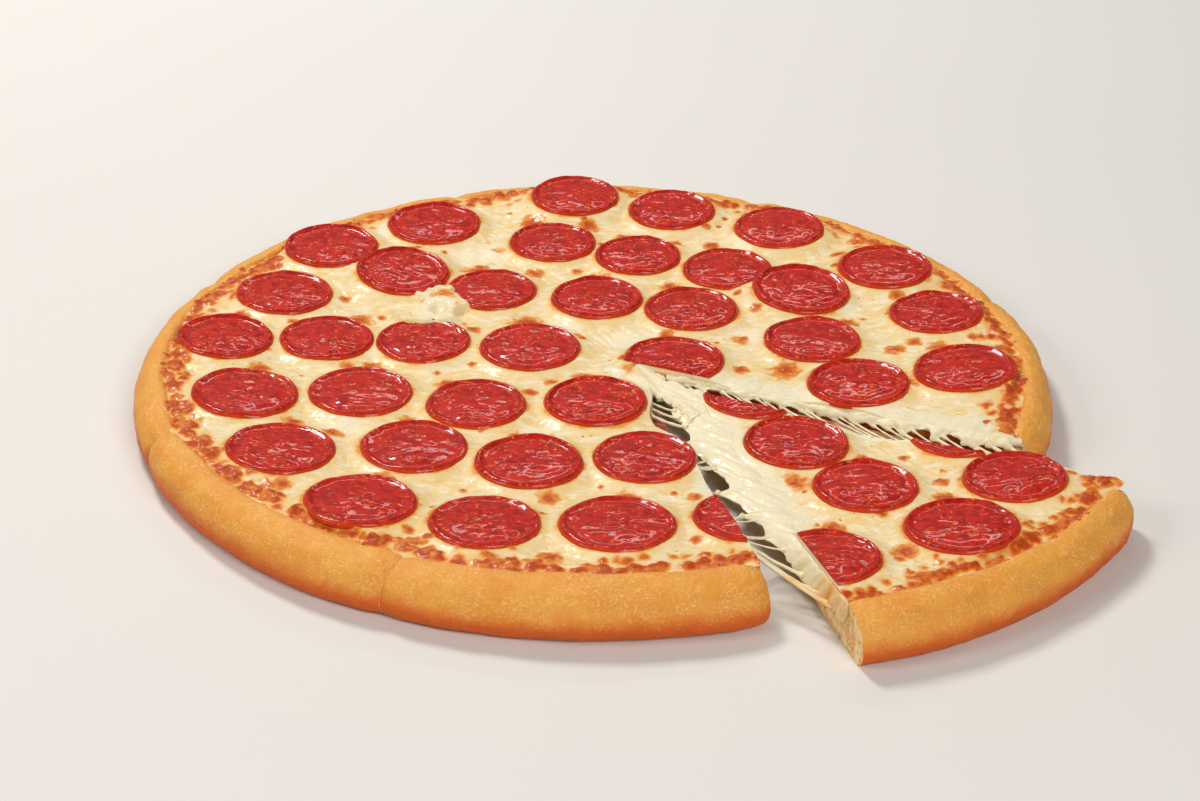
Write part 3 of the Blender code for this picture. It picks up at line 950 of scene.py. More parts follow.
    def stretch(self, section: Section, x: Array, y: Array, grain: Grain) -> Array:
        """How far the cheese was drawn out and whitened beside the two torn cuts."""
        share = np.zeros(x.shape)
        for inside, loose in zip(section.from_cuts(x, y), self.loose):
            if loose:
                ragged = 3.5 * grain.layered(x, y, 11, 2)
                share = np.maximum(share, 1 - ease(inside + ragged, loose * 0.35, loose))
        for place_x, place_y, wide in self.pale:
            away = np.hypot(x - place_x, y - place_y) / wide + 0.5 * grain.layered(x, y, 8, 2)
            share = np.maximum(share, 0.9 * (1 - ease(away, 0.4, 1.1)))
        return share

    def healed_cuts(self, x: Array, y: Array, grain: Grain) -> Array:
        """The depth of the grooves that are left where the cheese ran together again."""
        depth = np.zeros(x.shape)
        for start_x, start_y, degrees, deep in self.cuts:
            way = unit(degrees)
            along = (x - start_x) * way[0] + (y - start_y) * way[1]
            across = (y - start_y) * way[0] - (x - start_x) * way[1]
            across = across + 0.5 * grain.at(along, np.full(x.shape, degrees), 9)
            open_share = ease(grain.at(along, np.full(x.shape, degrees + 50), 26), -0.35, 0.35)
            groove = deep * (0.25 + 0.75 * open_share) * np.exp(-(across / 0.75) ** 2)
            depth = np.maximum(depth, np.where(along > 0, groove, 0))
        return depth

    def lumps(self, section: Section) -> list[tuple[float, float, float, float]]:
        """Strings irregular lumps of browned cheese along the rim.

        Args:
            section: The sector whose share of the lumps is wanted.

        Returns:
            Each lump's place, radius and height in millimetres.
        """
        rng, grain = np.random.default_rng(self.seed + 7), Grain(self.seed + 8)
        turns = np.arange(0, 2 * math.pi, self.lump_step / self.lump_radius)
        edge = self.plan.edge(turns)
        along = turns * self.lump_radius
        middle = self.band_centre + self.band_wander * grain.at(along, np.zeros(turns.shape), 21)
        dense = 1 + 0.9 * grain.at(along, np.full(turns.shape, 30.0), 15)
        made = []
        for offset, spread, chance, low, high in self.chain:
            kept = rng.random(len(turns)) < chance * dense
            past = middle + offset + spread * rng.standard_normal(len(turns))
            radius = low + (high - low) * rng.random(len(turns)) ** 1.6
            height = radius * rng.uniform(0.26, 0.50, len(turns))
            x, y = np.cos(turns) * (edge + past), np.sin(turns) * (edge + past)
            in_first, in_last = section.from_cuts(x, y)
            kept = kept & (in_first > -4) & (in_last > -4)
            made.extend(zip(x[kept], y[kept], radius[kept], height[kept]))
        return made

    def browned(self, section: Section, past: Array, x: Array, y: Array) -> tuple[Array, Array]:
        """Shapes the chain of browned lumps where the cheese meets the rim.

        Args:
            section: The sector that the points belong to.
            past: How far the points lie past the cheese's edge.
            x: Their first coordinates.
            y: Their second coordinates.

        Returns:
            The browned share and the height that the lumps add.
        """
        band = np.flatnonzero(past > -16)
        band_x, band_y = x[band], y[band]
        warp = Grain(self.seed + 9)
        moved_x = band_x + 0.9 * warp.at(band_x, band_y, 3.1) + 0.5 * warp.at(band_x, band_y + 90, 1.7)
        moved_y = band_y + 0.9 * warp.at(band_x + 50, band_y, 3.1)
        moved_y = moved_y + 0.5 * warp.at(band_x + 50, band_y + 90, 1.7)
        height, tint = np.zeros(len(band)), np.zeros(len(band))
        for lump_x, lump_y, radius, tall in self.lumps(section):
            near = (np.abs(moved_x - lump_x) < radius + 6) & (np.abs(moved_y - lump_y) < radius + 6)
            away = np.hypot(moved_x[near] - lump_x, moved_y[near] - lump_y)
            dome = np.sqrt(np.clip(1 - (away / radius) ** 2, 0, 1))
            height[near] = np.maximum(height[near], tall * dome)
            glow = 0.34 * np.exp(-np.maximum(0, away - radius) / 1.9)
            core = 0.46 + 0.54 * dome * min(1.0, radius / 2.1)
            tint[near] = np.maximum(tint[near], np.where(dome > 0, core, glow))
        browned, raised = np.zeros(x.shape), np.zeros(x.shape)
        browned[band], raised[band] = tint, height
        browned = np.maximum(browned, self.edge_brown * ease(past, -3.0, 0.5))
        return browned, raised

    def rim_level(self, section: Section, x: Array, y: Array) -> Array:
        """The level of the rim's top at points past the cheese's edge."""
        angle = np.arctan2(y - section.start[1], x - section.start[0])
        inner = section.ray(angle, self.plan.edge) + self.plan.wall_gap
        outer = section.ray(angle, self.plan.outline) * section.reach
        drop = section.drop(angle, outer)
        length = np.hypot(x - section.start[0], y - section.start[1])
        nominal = self.plan.nominal_edge + (length - inner) / (outer - drop - inner) * self.plan.nominal_rim
        level = np.interp(nominal, *np.array(self.rim_top).T)
        return level * (self.plan.rim_swell(angle) - self.plan.end_fall * drop / self.plan.radius)


@dataclass(frozen=True)
class Cheese:
    """One piece's melted cheese, from the tip of the piece to the browned lumps on the rim."""

    name: str
    section: Section
    topping: Topping
    nominal_top: float = 12.0
    bottom: float = 8.8
    bottom_sauce_and_shade: float = 0.75
    bottom_reach: float = 156.4
    bottom_rings: int = 21
    fine_start: float = 141.0
    spill: float = 6.0
    coarse_step: float = 1.15
    fine_step: float = 0.6
    turn_step: float = 0.29
    bites: tuple[tuple[float, float, float], ...] = ()

    def profile(self) -> list[tuple[float, float]]:
        """The closed section of the sheet, at its nominal radii."""
        coarse = np.arange(0, self.fine_start, self.coarse_step)
        fine = np.arange(self.fine_start, self.topping.plan.nominal_edge + self.spill, self.fine_step)
        top = [(float(radius), self.nominal_top) for radius in np.concatenate([coarse, fine])]
        rings = np.linspace(0, self.bottom_reach, self.bottom_rings)
        below = [(float(radius), self.bottom) for radius in rings]
        return below + top[::-1]

    def build(self) -> bpy.types.Object:
        """Makes the sheet with its relief and its masks."""
        steps = round(math.degrees(self.section.span) / self.turn_step)
        piece = spun(self.name, self.profile(), self.section.span, steps)
        angle, radius, height = polar(piece, self.section)
        edge = self.section.ray(angle, self.topping.plan.edge)
        nominal = self.topping.plan.nominal_edge
        inner = radius / self.fine_start * (edge - nominal + self.fine_start)
        length = np.where(radius <= self.fine_start, inner, edge + radius - nominal)
        x, y = self.bitten(*self.section.flat(angle, length))
        top = height > self.bottom + 0.01
        masks = self.topping.masks(self.section, x, y)
        level = np.where(top, masks.pop("height"), self.bottom)
        centre = self.section.centre
        set_points(piece, np.stack([x + centre[0], y + centre[1], level], axis=1))
        # Painted shade and sauce: the cut walls run from cream at the top to red-brown at the bottom.
        masks["browned"] = np.where(top, masks["browned"], self.bottom_sauce_and_shade)
        for name, values in masks.items():
            set_mask(piece, name, values)
        smooth(piece, 60)
        return piece

    def bitten(self, x: Array, y: Array) -> tuple[Array, Array]:
        """Draws the sheet back from its last cut where it tore."""
        way = unit(self.section.last)
        for place, wide, deep in self.bites:
            along = (x - self.section.start[0]) * way[0] + (y - self.section.start[1]) * way[1]
            inside = self.section.from_cuts(x, y)[1]
            shift = deep * np.exp(-((along - place) / wide) ** 2) * (1 - ease(inside, -1.0, 15.0))
            x, y = x + way[1] * shift, y - way[0] * shift
        return x, y


@dataclass(frozen=True)
class Dough:
    """One piece's dough: a flat base and the raised, pored rim."""

    name: str
    section: Section
    plan: Plan
    thickness: float = 7.0
    rim: tuple[tuple[float, float], ...] = (
        (155.0, 7.0), (155.0, 11.0), (155.6, 15.0), (157.5, 17.6), (160.5, 18.6), (165.0, 18.2),
        (170.0, 16.4), (173.8, 13.6), (176.0, 10.0), (176.5, 6.0), (174.8, 2.2), (171.5, 0.0),
    )
    rim_points: int = 62
    rim_draw: float = 0.75
    turn_step: float = 0.32
    shrink: float = 0.35
    middle_ring: float = 90.0
    heel: float = 150.0
    rim_heart: tuple[float, float] = (165.0, 8.0)
    grain_heart: tuple[float, float] = (166.0, 8.0)
    grain_scale: tuple[float, float] = (160.0, 12.0)

    def build(self) -> bpy.types.Object:
        """Makes the dough, with crumb on its two cut faces and a baked base."""
        path = rounded_path(self.rim, self.rim_points)
        profile = [(0.0, 0.0), (0.0, self.thickness), (self.middle_ring, self.thickness)]
        profile += [(float(radius), float(height)) for radius, height in path]
        profile += [(self.heel, 0.0), (self.middle_ring, 0.0)]
        section, plan = self.section, self.plan
        steps = round(math.degrees(section.span) / self.turn_step)
        piece = spun(self.name, profile, section.span, steps)
        first = math.radians(section.first)
        angle, radius, height = polar(piece, section)
        along = (angle - first) / section.span
        along = along - self.rim_draw * np.sin(2 * math.pi * along) / (2 * math.pi)
        angle = first + along * section.span
        inner = section.ray(angle, plan.edge) + plan.wall_gap
        outer = section.ray(angle, plan.outline) * section.reach
        drop = section.drop(angle, outer)
        share = (radius - plan.nominal_edge) / plan.nominal_rim
        swell = plan.rim_swell(angle) - plan.end_fall * drop / plan.radius
        on_rim = radius > plan.nominal_edge - 0.01
        length = np.where(on_rim, inner + share * (outer - drop - inner), radius * inner / plan.nominal_edge)
        level = np.where(on_rim & (height > self.thickness), height * swell, height)

        grain = Grain(11)
        run = angle * self.grain_scale[0]
        rise = np.arctan2(height - self.grain_heart[1], radius - self.grain_heart[0]) * self.grain_scale[1]
        swells = 0.5 * grain.layered(run, rise, 15, 3) - 0.15
        dimples = 0.16 * grain.at(run, rise, 3.4) + 0.08 * grain.at(run, rise, 1.7)
        outward = np.stack([radius - self.rim_heart[0], height - self.rim_heart[1]], axis=1)
        outward = outward / np.maximum(1e-6, np.hypot(*outward.T))[:, None]
        free = np.where(on_rim, ease(height, 0.0, 2.5), 0)
        relief = free * (np.minimum(swells, 0.3) + dimples)
        length = length + relief * outward[:, 0] - self.shrink * free * ease(radius, 168, 174)
        level = level + relief * outward[:, 1] - 0.1 * free

        x, y = section.flat(angle, length)
        x, y = x + section.centre[0], y + section.centre[1]
        set_points(piece, np.stack([x, y, np.maximum(level, 0)], axis=1))
        # Painted bounce light and deeper baking: this mask rises towards the foot of the rim.
        bake_and_bounce_light = 1 - ease(level, 1.0, 16.5)
        set_mask(piece, "bake_and_bounce_light", np.where(on_rim, bake_and_bounce_light, 1.0))
        smooth(piece, 42)
        self.number_faces(piece)
        return piece

    def number_faces(self, piece: bpy.types.Object) -> None:
        """Gives the flat ends the crumb and the base the underside's finish."""
        for face in piece.data.polygons:
            if len(face.vertices) > 6:
                face.material_index = 1
            elif face.normal.z < -0.9 and face.center.z < 0.4 * MM:
                face.material_index = 2


@dataclass(frozen=True)
class Pepperoni:
    """The rounds: one blank is modelled, and each round is a copy of it with its own lip and wrinkles."""

    plan: Plan
    thickness: float = 1.9
    sides: int = 108
    rings: int = 27
    blank_radius: float = 19.5
    ceiling: float = 20.0

    def blank(self) -> bpy.types.Object:
        """A flat disc with a fine top, a rounded wall and a plain underside."""
        deselect()
        bpy.ops.mesh.primitive_circle_add(
            vertices=self.sides, radius=self.blank_radius * MM, fill_type="NGON",
            location=(0, 0, self.thickness * MM),
        )
        bpy.ops.object.transform_apply(location=True)
        made = named("pepperoni_blank")
        bpy.ops.object.mode_set(mode="EDIT")
        bpy.ops.mesh.select_mode(type="FACE")
        bpy.ops.mesh.select_all(action="SELECT")
        for ring in range(self.rings - 1):
            width = self.blank_radius / (self.rings + 3) * (0.5 if ring < 6 else 1.0) * 1.18
            bpy.ops.mesh.inset(thickness=width * MM, depth=0)
        bpy.ops.mesh.poke()
        bpy.ops.mesh.select_all(action="SELECT")
        bpy.ops.mesh.region_to_loop()
        for _ in range(4):
            bpy.ops.mesh.extrude_region_move(
                TRANSFORM_OT_translate={"value": (0, 0, -self.thickness / 4 * MM)}
            )
        bpy.ops.mesh.edge_face_add()
        bpy.ops.mesh.select_all(action="SELECT")
        bpy.ops.mesh.normals_make_consistent(inside=False)
        bpy.ops.object.mode_set(mode="OBJECT")
        return made

    def dressed(
        self, blank: bpy.types.Object, item: Round, centre: tuple[float, float],
        planes: Iterable[tuple[Array, Array]],
    ) -> bpy.types.Object:
        """Copies the blank as one round.

        Args:
            blank: What blank() made.
            item: The round's place and size.
            centre: Where its plan lies in the world.
            planes: The cuts that pass through it, each as a point and its outward direction.

        Returns:
            The finished round.
        """
        deselect()
        piece = copied(blank, f"pepperoni_round_{item.number:02d}")
        local, masks = self.shaped(item, points_of(piece))
        placed = item.lie(self.plan)
        world = local @ np.array(placed.to_3x3()).T + np.array(placed.translation)
        capped = self.ceiling + 0.2 * np.tanh((world[:, 2] - self.ceiling) * 2)
        world[:, 2] = np.minimum(world[:, 2], capped)
        set_points(piece, world + np.array([*centre, 0]))
        for name, values in masks.items():
            set_mask(piece, name, values)
        for point, outward in planes:
            self.trim(piece, point + np.array(centre) - outward * 0.5, outward)
        smooth(piece, 50)
        return piece

    def shaped(self, item: Round, points: Array) -> tuple[Array, dict[str, Array]]:
        """Gives the blank's points the round's own lip, wrinkles, wall and outline.

        Args:
            item: The round's place and size.
            points: The blank's points in millimetres, one row each.

        Returns:
            The points about the round's middle, and the masks "rim", "dull" and "crumpled".
        """
        grain, rng = Grain(100 + item.number), np.random.default_rng(item.number)
        x, y = points[:, 0], points[:, 1]
        share, turn = np.hypot(x, y) / self.blank_radius, np.arctan2(y, x)
        top = points[:, 2] > self.thickness - 0.01
        lip = rng.uniform(0.60, 1.0) * (1 + 0.7 * grain.at(np.cos(turn) * 4, np.sin(turn) * 4, 3.0))
        ridge = np.exp(-((share - 0.915) / 0.055) ** 2)
        rise = lip * ridge + 0.8 * (1 - share ** 2) - 0.25 * np.exp(-((share - 0.76) / 0.08) ** 2)
        warped = y + 0.9 * grain.at(x, y, 5.0)
        crumpled = self.crumpled(grain, rng, x, y)
        creases = 0.62 * np.abs(grain.at(x * 0.62, warped, 5.2)) + 0.26 * np.abs(grain.at(x * 0.7, y, 2.7))
        creases = creases * (0.30 + 0.70 * crumpled) + 0.28 * grain.at(x, y, 9.0) - 0.15
        calm = 1 - 0.6 * ease(share, 0.84, 1.0)
        edge_drop = 0.45 * ease(share, 0.95, 1.0)
        wall = np.clip(points[:, 2] / self.thickness, 0, 1)
        raised = self.thickness + rise + creases * calm - edge_drop
        height = np.where(top, raised, points[:, 2] * (1 - 0.20 * wall))
        bulge = np.where(share > 0.999, 1 - 0.020 * (2 * wall - 1.1) ** 2, 1.0)
        uneven = item.outline(turn) + 0.018 * wave(turn, 2.6, item.number * 1.3)
        wide = uneven * item.radius / self.blank_radius * bulge
        masks = {
            "rim": np.where(top, np.exp(-((share - 0.985) / 0.02) ** 2), 0.45),
            "dull": np.full(share.shape, rng.uniform(0.0, 0.35)),
            "crumpled": crumpled,
        }
        return np.stack([x * wide, y * wide, height], axis=1), masks

    def crumpled(self, grain: Grain, rng: np.random.Generator, x: Array, y: Array) -> Array:
        """How much each part of a round shrank into wrinkles, mostly in patches of its near half."""
        place = rng.uniform((-7.0, -10.0), (7.0, -3.0))
        patch = np.exp(-((x - place[0]) / 8.5) ** 2 - ((y - place[1]) / 5.0) ** 2)
        other = ease(grain.at(x + 40, y * 1.3, 11.0), 0.02, 0.50)
        lip = 0.8 * ease(np.hypot(x, y) / self.blank_radius, 0.82, 0.93)
        return np.clip(np.maximum(np.maximum(patch * 1.2, other * 0.8), lip), 0, 1)

    def trim(self, piece: bpy.types.Object, point: Array, outward: Array) -> None:
        """Cuts a round off at an upright plane and closes the cut."""
        deselect()
        bpy.context.view_layer.objects.active = piece
        piece.select_set(True)
        bpy.ops.object.mode_set(mode="EDIT")
        bpy.ops.mesh.select_all(action="SELECT")
        bpy.ops.mesh.bisect(
            plane_co=(*(point * MM), 0), plane_no=(*outward, 0), use_fill=True, clear_outer=True,
        )
        bpy.ops.object.mode_set(mode="OBJECT")


@dataclass(frozen=True)
class Strand:
    """A string of cheese between two points."""

    first: tuple[float, float, float]
    last: tuple[float, float, float]
    radius: float = 0.5
    sag: float = 1.0
    flare: float = 2.2

    def shape(self, blank: bpy.types.Object, name: str, seed: int) -> bpy.types.Object:
        """Copies a straight tube and draws it out between the two points.

        Args:
            blank: A tube of radius 1 mm and length 1 mm that stands on the origin.
            name: The copy's name.
            seed: Which of the uneven strings it is.

        Returns:
            The string.
        """
        piece = copied(blank, name)
        points = points_of(piece)
        share = points[:, 2][:, None]
        first, last = np.array(self.first), np.array(self.last)
        way = (last - first) / np.linalg.norm(last - first)
        side = np.cross(way, (0, 0, 1))
        side = side / np.linalg.norm(side)
        up = np.cross(side, way)
        grain = Grain(500 + seed)
        uneven = 1 + 0.35 * grain.at(points[:, 2] * 7, np.zeros(len(points)), 1.0)
        ends = np.abs(2 * points[:, 2] - 1)
        thick = self.radius * uneven * (1 + self.flare * ease(ends, 0.72, 1.0))
        drift = 0.35 * grain.at(points[:, 2] * 3, np.full(len(points), 8.0), 1.0) * (1 - ends)
        middle = first + (last - first) * share - np.array([0, 0, 1]) * self.sag * np.sin(math.pi * share)
        middle = middle + side * drift[:, None]
        around = side * (points[:, 0] * thick)[:, None] + up * (points[:, 1] * thick)[:, None]
        set_points(piece, middle + around)
        return piece


@dataclass(frozen=True)
class Pull:
    """The stretched cheese on one side of the gap: a drawn sheet and its strings."""

    name: str
    node: str
    sheet_at: Callable[[Array, Array], Array]
    strands: tuple[Strand, ...]
    columns: int = 260
    rows: int = 26
    thickness: float = 0.9
    centre: tuple[float, float] = (-8.0, 6.0)
    far_brown: float = 0.22

    def sheet(self) -> bpy.types.Object:
        """The drawn sheet, a grid shaped by its own rule and given a thickness."""
        deselect()
        bpy.ops.mesh.primitive_grid_add(
            x_subdivisions=self.columns, y_subdivisions=self.rows, size=1000 * MM,
        )
        made = named(self.name)
        points = points_of(made) / 1000
        set_points(made, self.sheet_at(points[:, 0] + 0.5, points[:, 1] + 0.5))
        shell = made.modifiers.new("thickness", "SOLIDIFY")
        shell.thickness = self.thickness * MM
        shell.offset = 0
        bpy.ops.object.modifier_apply(modifier=shell.name)
        return made

    def tube(self) -> bpy.types.Object:
        """A fine straight tube that every string is copied from."""
        deselect()
        bpy.ops.mesh.primitive_cylinder_add(
            vertices=8, radius=1 * MM, depth=1 * MM, location=(0, 0, 0.5 * MM), end_fill_type="NGON",
        )
        bpy.ops.object.transform_apply(location=True)
        made = named("string_blank")
        bpy.ops.object.mode_set(mode="EDIT")
        bpy.ops.mesh.select_mode(type="EDGE")
        bpy.ops.mesh.select_all(action="DESELECT")
        bpy.ops.object.mode_set(mode="OBJECT")
        for edge in made.data.edges:
            low, high = (made.data.vertices[index].co.z for index in edge.vertices)
            edge.select = abs(low - high) > 0.5 * MM
        bpy.ops.object.mode_set(mode="EDIT")
        bpy.ops.mesh.subdivide(number_cuts=17)
        bpy.ops.object.mode_set(mode="OBJECT")
        return made

    def build(self) -> bpy.types.Object:
        """Makes the sheet and its strings one piece."""
        made = self.sheet()
        blank = self.tube()
        strings = [
            strand.shape(blank, f"{self.name}_string_{number}", number)
            for number, strand in enumerate(self.strands)
        ]
        bpy.data.objects.remove(blank)
        deselect()
        for item in [made, *strings]:
            item.select_set(True)
        bpy.context.view_layer.objects.active = made
        bpy.ops.object.join()
        count = len(made.data.vertices)
        points = points_of(made)
        far = ease(np.hypot(points[:, 0] - self.centre[0], points[:, 1] - self.centre[1]), 150, 182)
        uneven = Grain(77).layered(points[:, 0], points[:, 1], 14, 2)
        oil = np.clip(0.25 * ease(uneven, 0.1, 0.6) + 0.7 * far * (0.6 + 0.6 * uneven), 0, 1)
        for name, values in (
            ("stretch", 1 - 0.5 * far), ("oil", oil), ("browned", self.far_brown * far),
            ("blister", np.zeros(count)),
        ):
            set_mask(made, name, values)
        smooth(made, 70)
        return made


@dataclass(frozen=True)
class Gap:
    """The gap that the drawn-out piece left, and the rules of the two drawn sheets in it."""

    plan: Plan
    meet: tuple[float, float]
    centre: tuple[float, float]
    tip: tuple[float, float]
    main_front: float
    main_back: float
    pulled_front: float
    pulled_back: float
    web_hem: tuple[tuple[float, float], ...] = (
        (6, 9), (12, 11.7), (16, 12.3), (20, 10.4), (24, 11.2), (30, 10.4), (35, 12.2), (37, 16.0),
        (39, 15.4), (45, 12.6), (52, 11.4), (57, 10.6), (63, 8.2), (70, 8.8), (74, 12.6), (75, 16.2),
        (77, 13.0), (83, 9.4), (89, 8.4), (91.5, 12.8), (93.5, 8.6), (98, 6.4), (103, 7.2), (106, 8.6),
        (110, 5.4), (118, 3.8), (124, 3.4), (129, 3.0), (137, 2.4), (146, 2.2), (152, 1.8), (156, 1.2),
        (160, 0.7),
    )
    front_strings: tuple[tuple[float, float, float], ...] = (
        (27, 12, 0.42), (31, 17, 0.50), (35.5, 24, 0.60), (66, 39, 0.50), (75, 50, 0.48), (77.5, 55, 0.55),
        (79, 57, 0.35), (102, 75, 0.50), (119, 91.5, 0.50), (121, 94, 0.32), (132, 105, 0.55),
        (134.5, 112, 0.35), (138, 126, 0.60), (140, 133, 0.42), (141.5, 139, 0.55), (143.5, 146, 0.75),
        (144.5, 150, 0.40),
    )
    back_strings: tuple[tuple[float, float, float], ...] = (
        (19, 8, 0.50), (24, 14, 0.32), (27, 17, 0.45), (34, 25, 0.40), (37, 28, 0.30), (44, 34, 0.50),
        (48, 39, 0.32), (52, 42, 0.38), (59, 50, 0.50), (66, 57, 0.40), (69, 60, 0.55), (80, 71, 0.40),
        (82, 74, 0.30), (88, 79, 0.45), (95, 86, 0.35), (101, 92, 0.45), (108, 98, 0.60), (111, 102, 0.35),
        (120, 111, 0.70), (123, 115, 0.40), (132, 122, 0.80), (136, 127, 0.60), (141, 132, 0.70),
        (148, 138, 0.80),
    )
    drips: tuple[tuple[float, float, float], ...] = (
        (19, 1.4, 3.0), (27, 1.8, 1.4), (35, 1.4, 1.6), (44, 2.4, 2.2), (52, 1.4, 1.2), (59, 1.8, 1.8),
        (67, 2.6, 2.6), (74, 1.4, 1.2), (80, 2.0, 1.6), (88, 2.4, 2.8), (95, 1.5, 1.3), (101, 1.8, 2.0),
    )
    tongues: tuple[tuple[float, float, float], ...] = (
        (108, 5.0, 2.6), (121, 6.5, 2.2), (136, 6.5, 5.5), (149, 5.5, 7.0),
    )
    bites: tuple[tuple[float, float, float], ...] = ((42.0, 13.0, 6.5), (112.0, 9.0, 2.2))
    web_start: float = 6.0
    web_length: float = 153.5
    curtain_start: float = 12.0
    curtain_length: float = 141.0
    held_end: float = 0.93
    web_fold: float = 0.40
    curtain_fold: float = 0.36

    def level(self, flat: Array) -> Array:
        """The level of the cheese at points of a plan, one row each."""
        return self.plan.cheese_level(flat[:, 0], flat[:, 1])

    def web(self, u: Array, v: Array) -> Array:
        """Places the web that clings to the drawn-out piece's front side.

        Args:
            u: Shares of the way from the tip to the rim.
            v: Shares of the way from the top of the cheese, over the edge, to the torn hem.

        Returns:
            The points in the world, one row each.
        """
        side, out = unit(self.pulled_front), -unit(self.pulled_front + 90)
        grain = Grain(31)
        along = self.web_start + self.web_length * u
        zero = np.zeros(u.shape)
        hem = np.interp(along, *np.array(self.web_hem).T) + 0.5 * grain.at(along, zero, 3.5)
        inside = (-10.0 + 4.0 * grain.at(along, zero + 20, 9)) * (1 - 0.85 * ease(along, 128, 146))
        path = ease(v, 0.0, 0.42)
        turn = np.clip((v - self.web_fold) / (1 - self.web_fold), 0, 1)
        across = np.where(v < self.web_fold, inside * (1 - v / self.web_fold), hem * turn)
        hang = 2.2 + 0.6 * grain.at(along, zero + 40, 12) + 5.8 * ease(along, 98, 136)
        hang = hang + 1.7 * grain.at(along, zero + 70, 5) * ease(along, 98, 110) - 4.5 * ease(along, 157, 160)
        base = side * (along - 0.45 * np.maximum(0, across) * (1 - ease(along, 100, 125)))[:, None]
        level = self.level(base)
        streak = along + 1.6 * across
        rib = 0.50 * grain.at(streak, across * 0.25, 4.2) + 0.24 * grain.at(streak, across * 0.4, 1.9)
        rib = rib + 0.45 * grain.at(along, across, 7.5)
        fold = 0.9 * grain.at(along + 0.8 * turn * hang, turn, 3.6) * turn * ease(along, 98, 115)
        across = across + fold
        height = level - hang * turn ** 1.5 + rib * (path - 0.6 * turn ** 4) - 0.6 + 0.8 * path
        flat = np.array(self.tip) + base + out * across[:, None]
        return np.column_stack([flat + np.array(self.centre), height])

    def curtain(self, u: Array, v: Array) -> Array:
        """Places the curtain that hangs from the main part's back cut, with its drips.

        Args:
            u: Shares of the way from where the cuts meet to the rim.
            v: Shares of the way from the top of the cheese, over the edge, to the hem.

        Returns:
            The points in the world, one row each.
        """
        side, out = unit(self.main_back), -unit(self.main_back + 90)
        grain = Grain(32)
        along = self.curtain_start + self.curtain_length * u
        zero = np.zeros(u.shape)
        drips = sum(far * np.exp(-((along - place) / wide) ** 2) for place, far, wide in self.drips)
        reach = 1.7 + 1.2 * grain.layered(along, zero, 11, 2) + 0.8 * ease(along, 60, 95) + sum(
            far * np.exp(-((along - place) / wide) ** 2) for place, far, wide in self.tongues
        )
        deep = 1.4 + 0.7 * grain.layered(along, zero + 9, 14, 2) + 0.75 * drips
        deep = deep * (1 - 0.1 * ease(along, 104, 116))
        inside = (-8.5 + 5.0 * grain.at(along, zero + 30, 9)) * (1 - 0.8 * ease(along, 138, 152))
        reach = reach * (1 - 0.8 * ease(along, 146, 153))
        turn = np.clip((v - self.curtain_fold) / (1 - self.curtain_fold), 0, 1)
        quarter = turn * math.pi / 2
        lump = 1.5 * grain.at(along, turn * 8, 8.0) + 0.7 * grain.at(along + 4 * turn, turn * 7, 3.6)
        fall = (reach + 1.1 * lump) * np.sin(quarter)
        across = np.where(v < self.curtain_fold, inside * (1 - v / self.curtain_fold), fall)
        base = np.array(self.meet) + side * (along + 1.6 * turn)[:, None]
        level = self.level(base)
        lie = ease(v, 0.0, 0.2)
        swell = (0.7 * lump + 0.3) * lie * (1 - 0.5 * turn ** 3)
        height = level - deep * (1 - np.cos(quarter)) + swell - 0.45
        height = height - 1.6 * ease(along, 148, 153)
        flat = base + out * across[:, None]
        return np.column_stack([flat + np.array(self.centre), height])

    def bridge(self, u: Array, v: Array) -> Array:
        """Places the thick white patch that still joins the tip to the middle of the pizza."""
        grain = Grain(33)
        first = np.array(self.meet) + np.array([-7.0, 4.0])
        last = np.array(self.tip) + np.array([7.0, -9.0])
        way = (last - first) / np.linalg.norm(last - first)
        left = np.array([-way[1], way[0]])
        length = np.linalg.norm(last - first)
        along = u * length
        zero = np.zeros(u.shape)
        right_edge = 7.0 + 6.0 * np.abs(2 * u - 0.9) ** 2 + 2.4 * grain.layered(along, zero, 5, 2)
        left_edge = 4.6 + 8.0 * np.abs(2 * u - 0.8) ** 2 * (1 - 0.9 * ease(u, 0.45, 0.9))
        left_edge = left_edge + 2.2 * grain.layered(along, zero + 60, 5, 2)
        across = -right_edge + (left_edge + right_edge) * v
        flat = first + way * along[:, None] + left * across[:, None]
        rib = 0.65 * grain.at(along * 0.3, across, 2.6) + 0.55 * grain.at(along, across, 6.0)
        ends = ease(np.abs(2 * u - 1), 0.8, 1.0)
        rims = ease(np.abs(2 * v - 1), 0.75, 1.0)
        sag = 1.6 * np.sin(math.pi * u) ** 2
        height = 12.9 + rib * (1 - 0.5 * ends) - sag - 0.9 * ends - 1.2 * rims
        return np.column_stack([flat + np.array(self.centre), height])

    def front_strands(self) -> tuple[Strand, ...]:
        """The strings from the main part's front cut to the web."""
        cut, inward = unit(self.main_front), unit(self.main_front + 90)
        strands = []
        for number, (main_along, web_along, radius) in enumerate(self.front_strings):
            torn = sum(
                deep * math.exp(-((main_along - place) / wide) ** 2) for place, wide, deep in self.bites
            )
            start = np.array(self.meet) + cut * main_along - inward * (torn + 0.8)
            height = float(self.level(start[None, :])[0]) - 0.5
            share = np.array([(web_along - self.web_start) / self.web_length])
            ends = self.web(share, np.array([self.held_end]))[0] + np.array([0, 0, 0.15])
            first = (*(start + np.array(self.centre)), height)
            strands.append(Strand(first, tuple(ends), radius, 0.5 + 0.15 * (number % 3), 1.4))
        return tuple(strands)

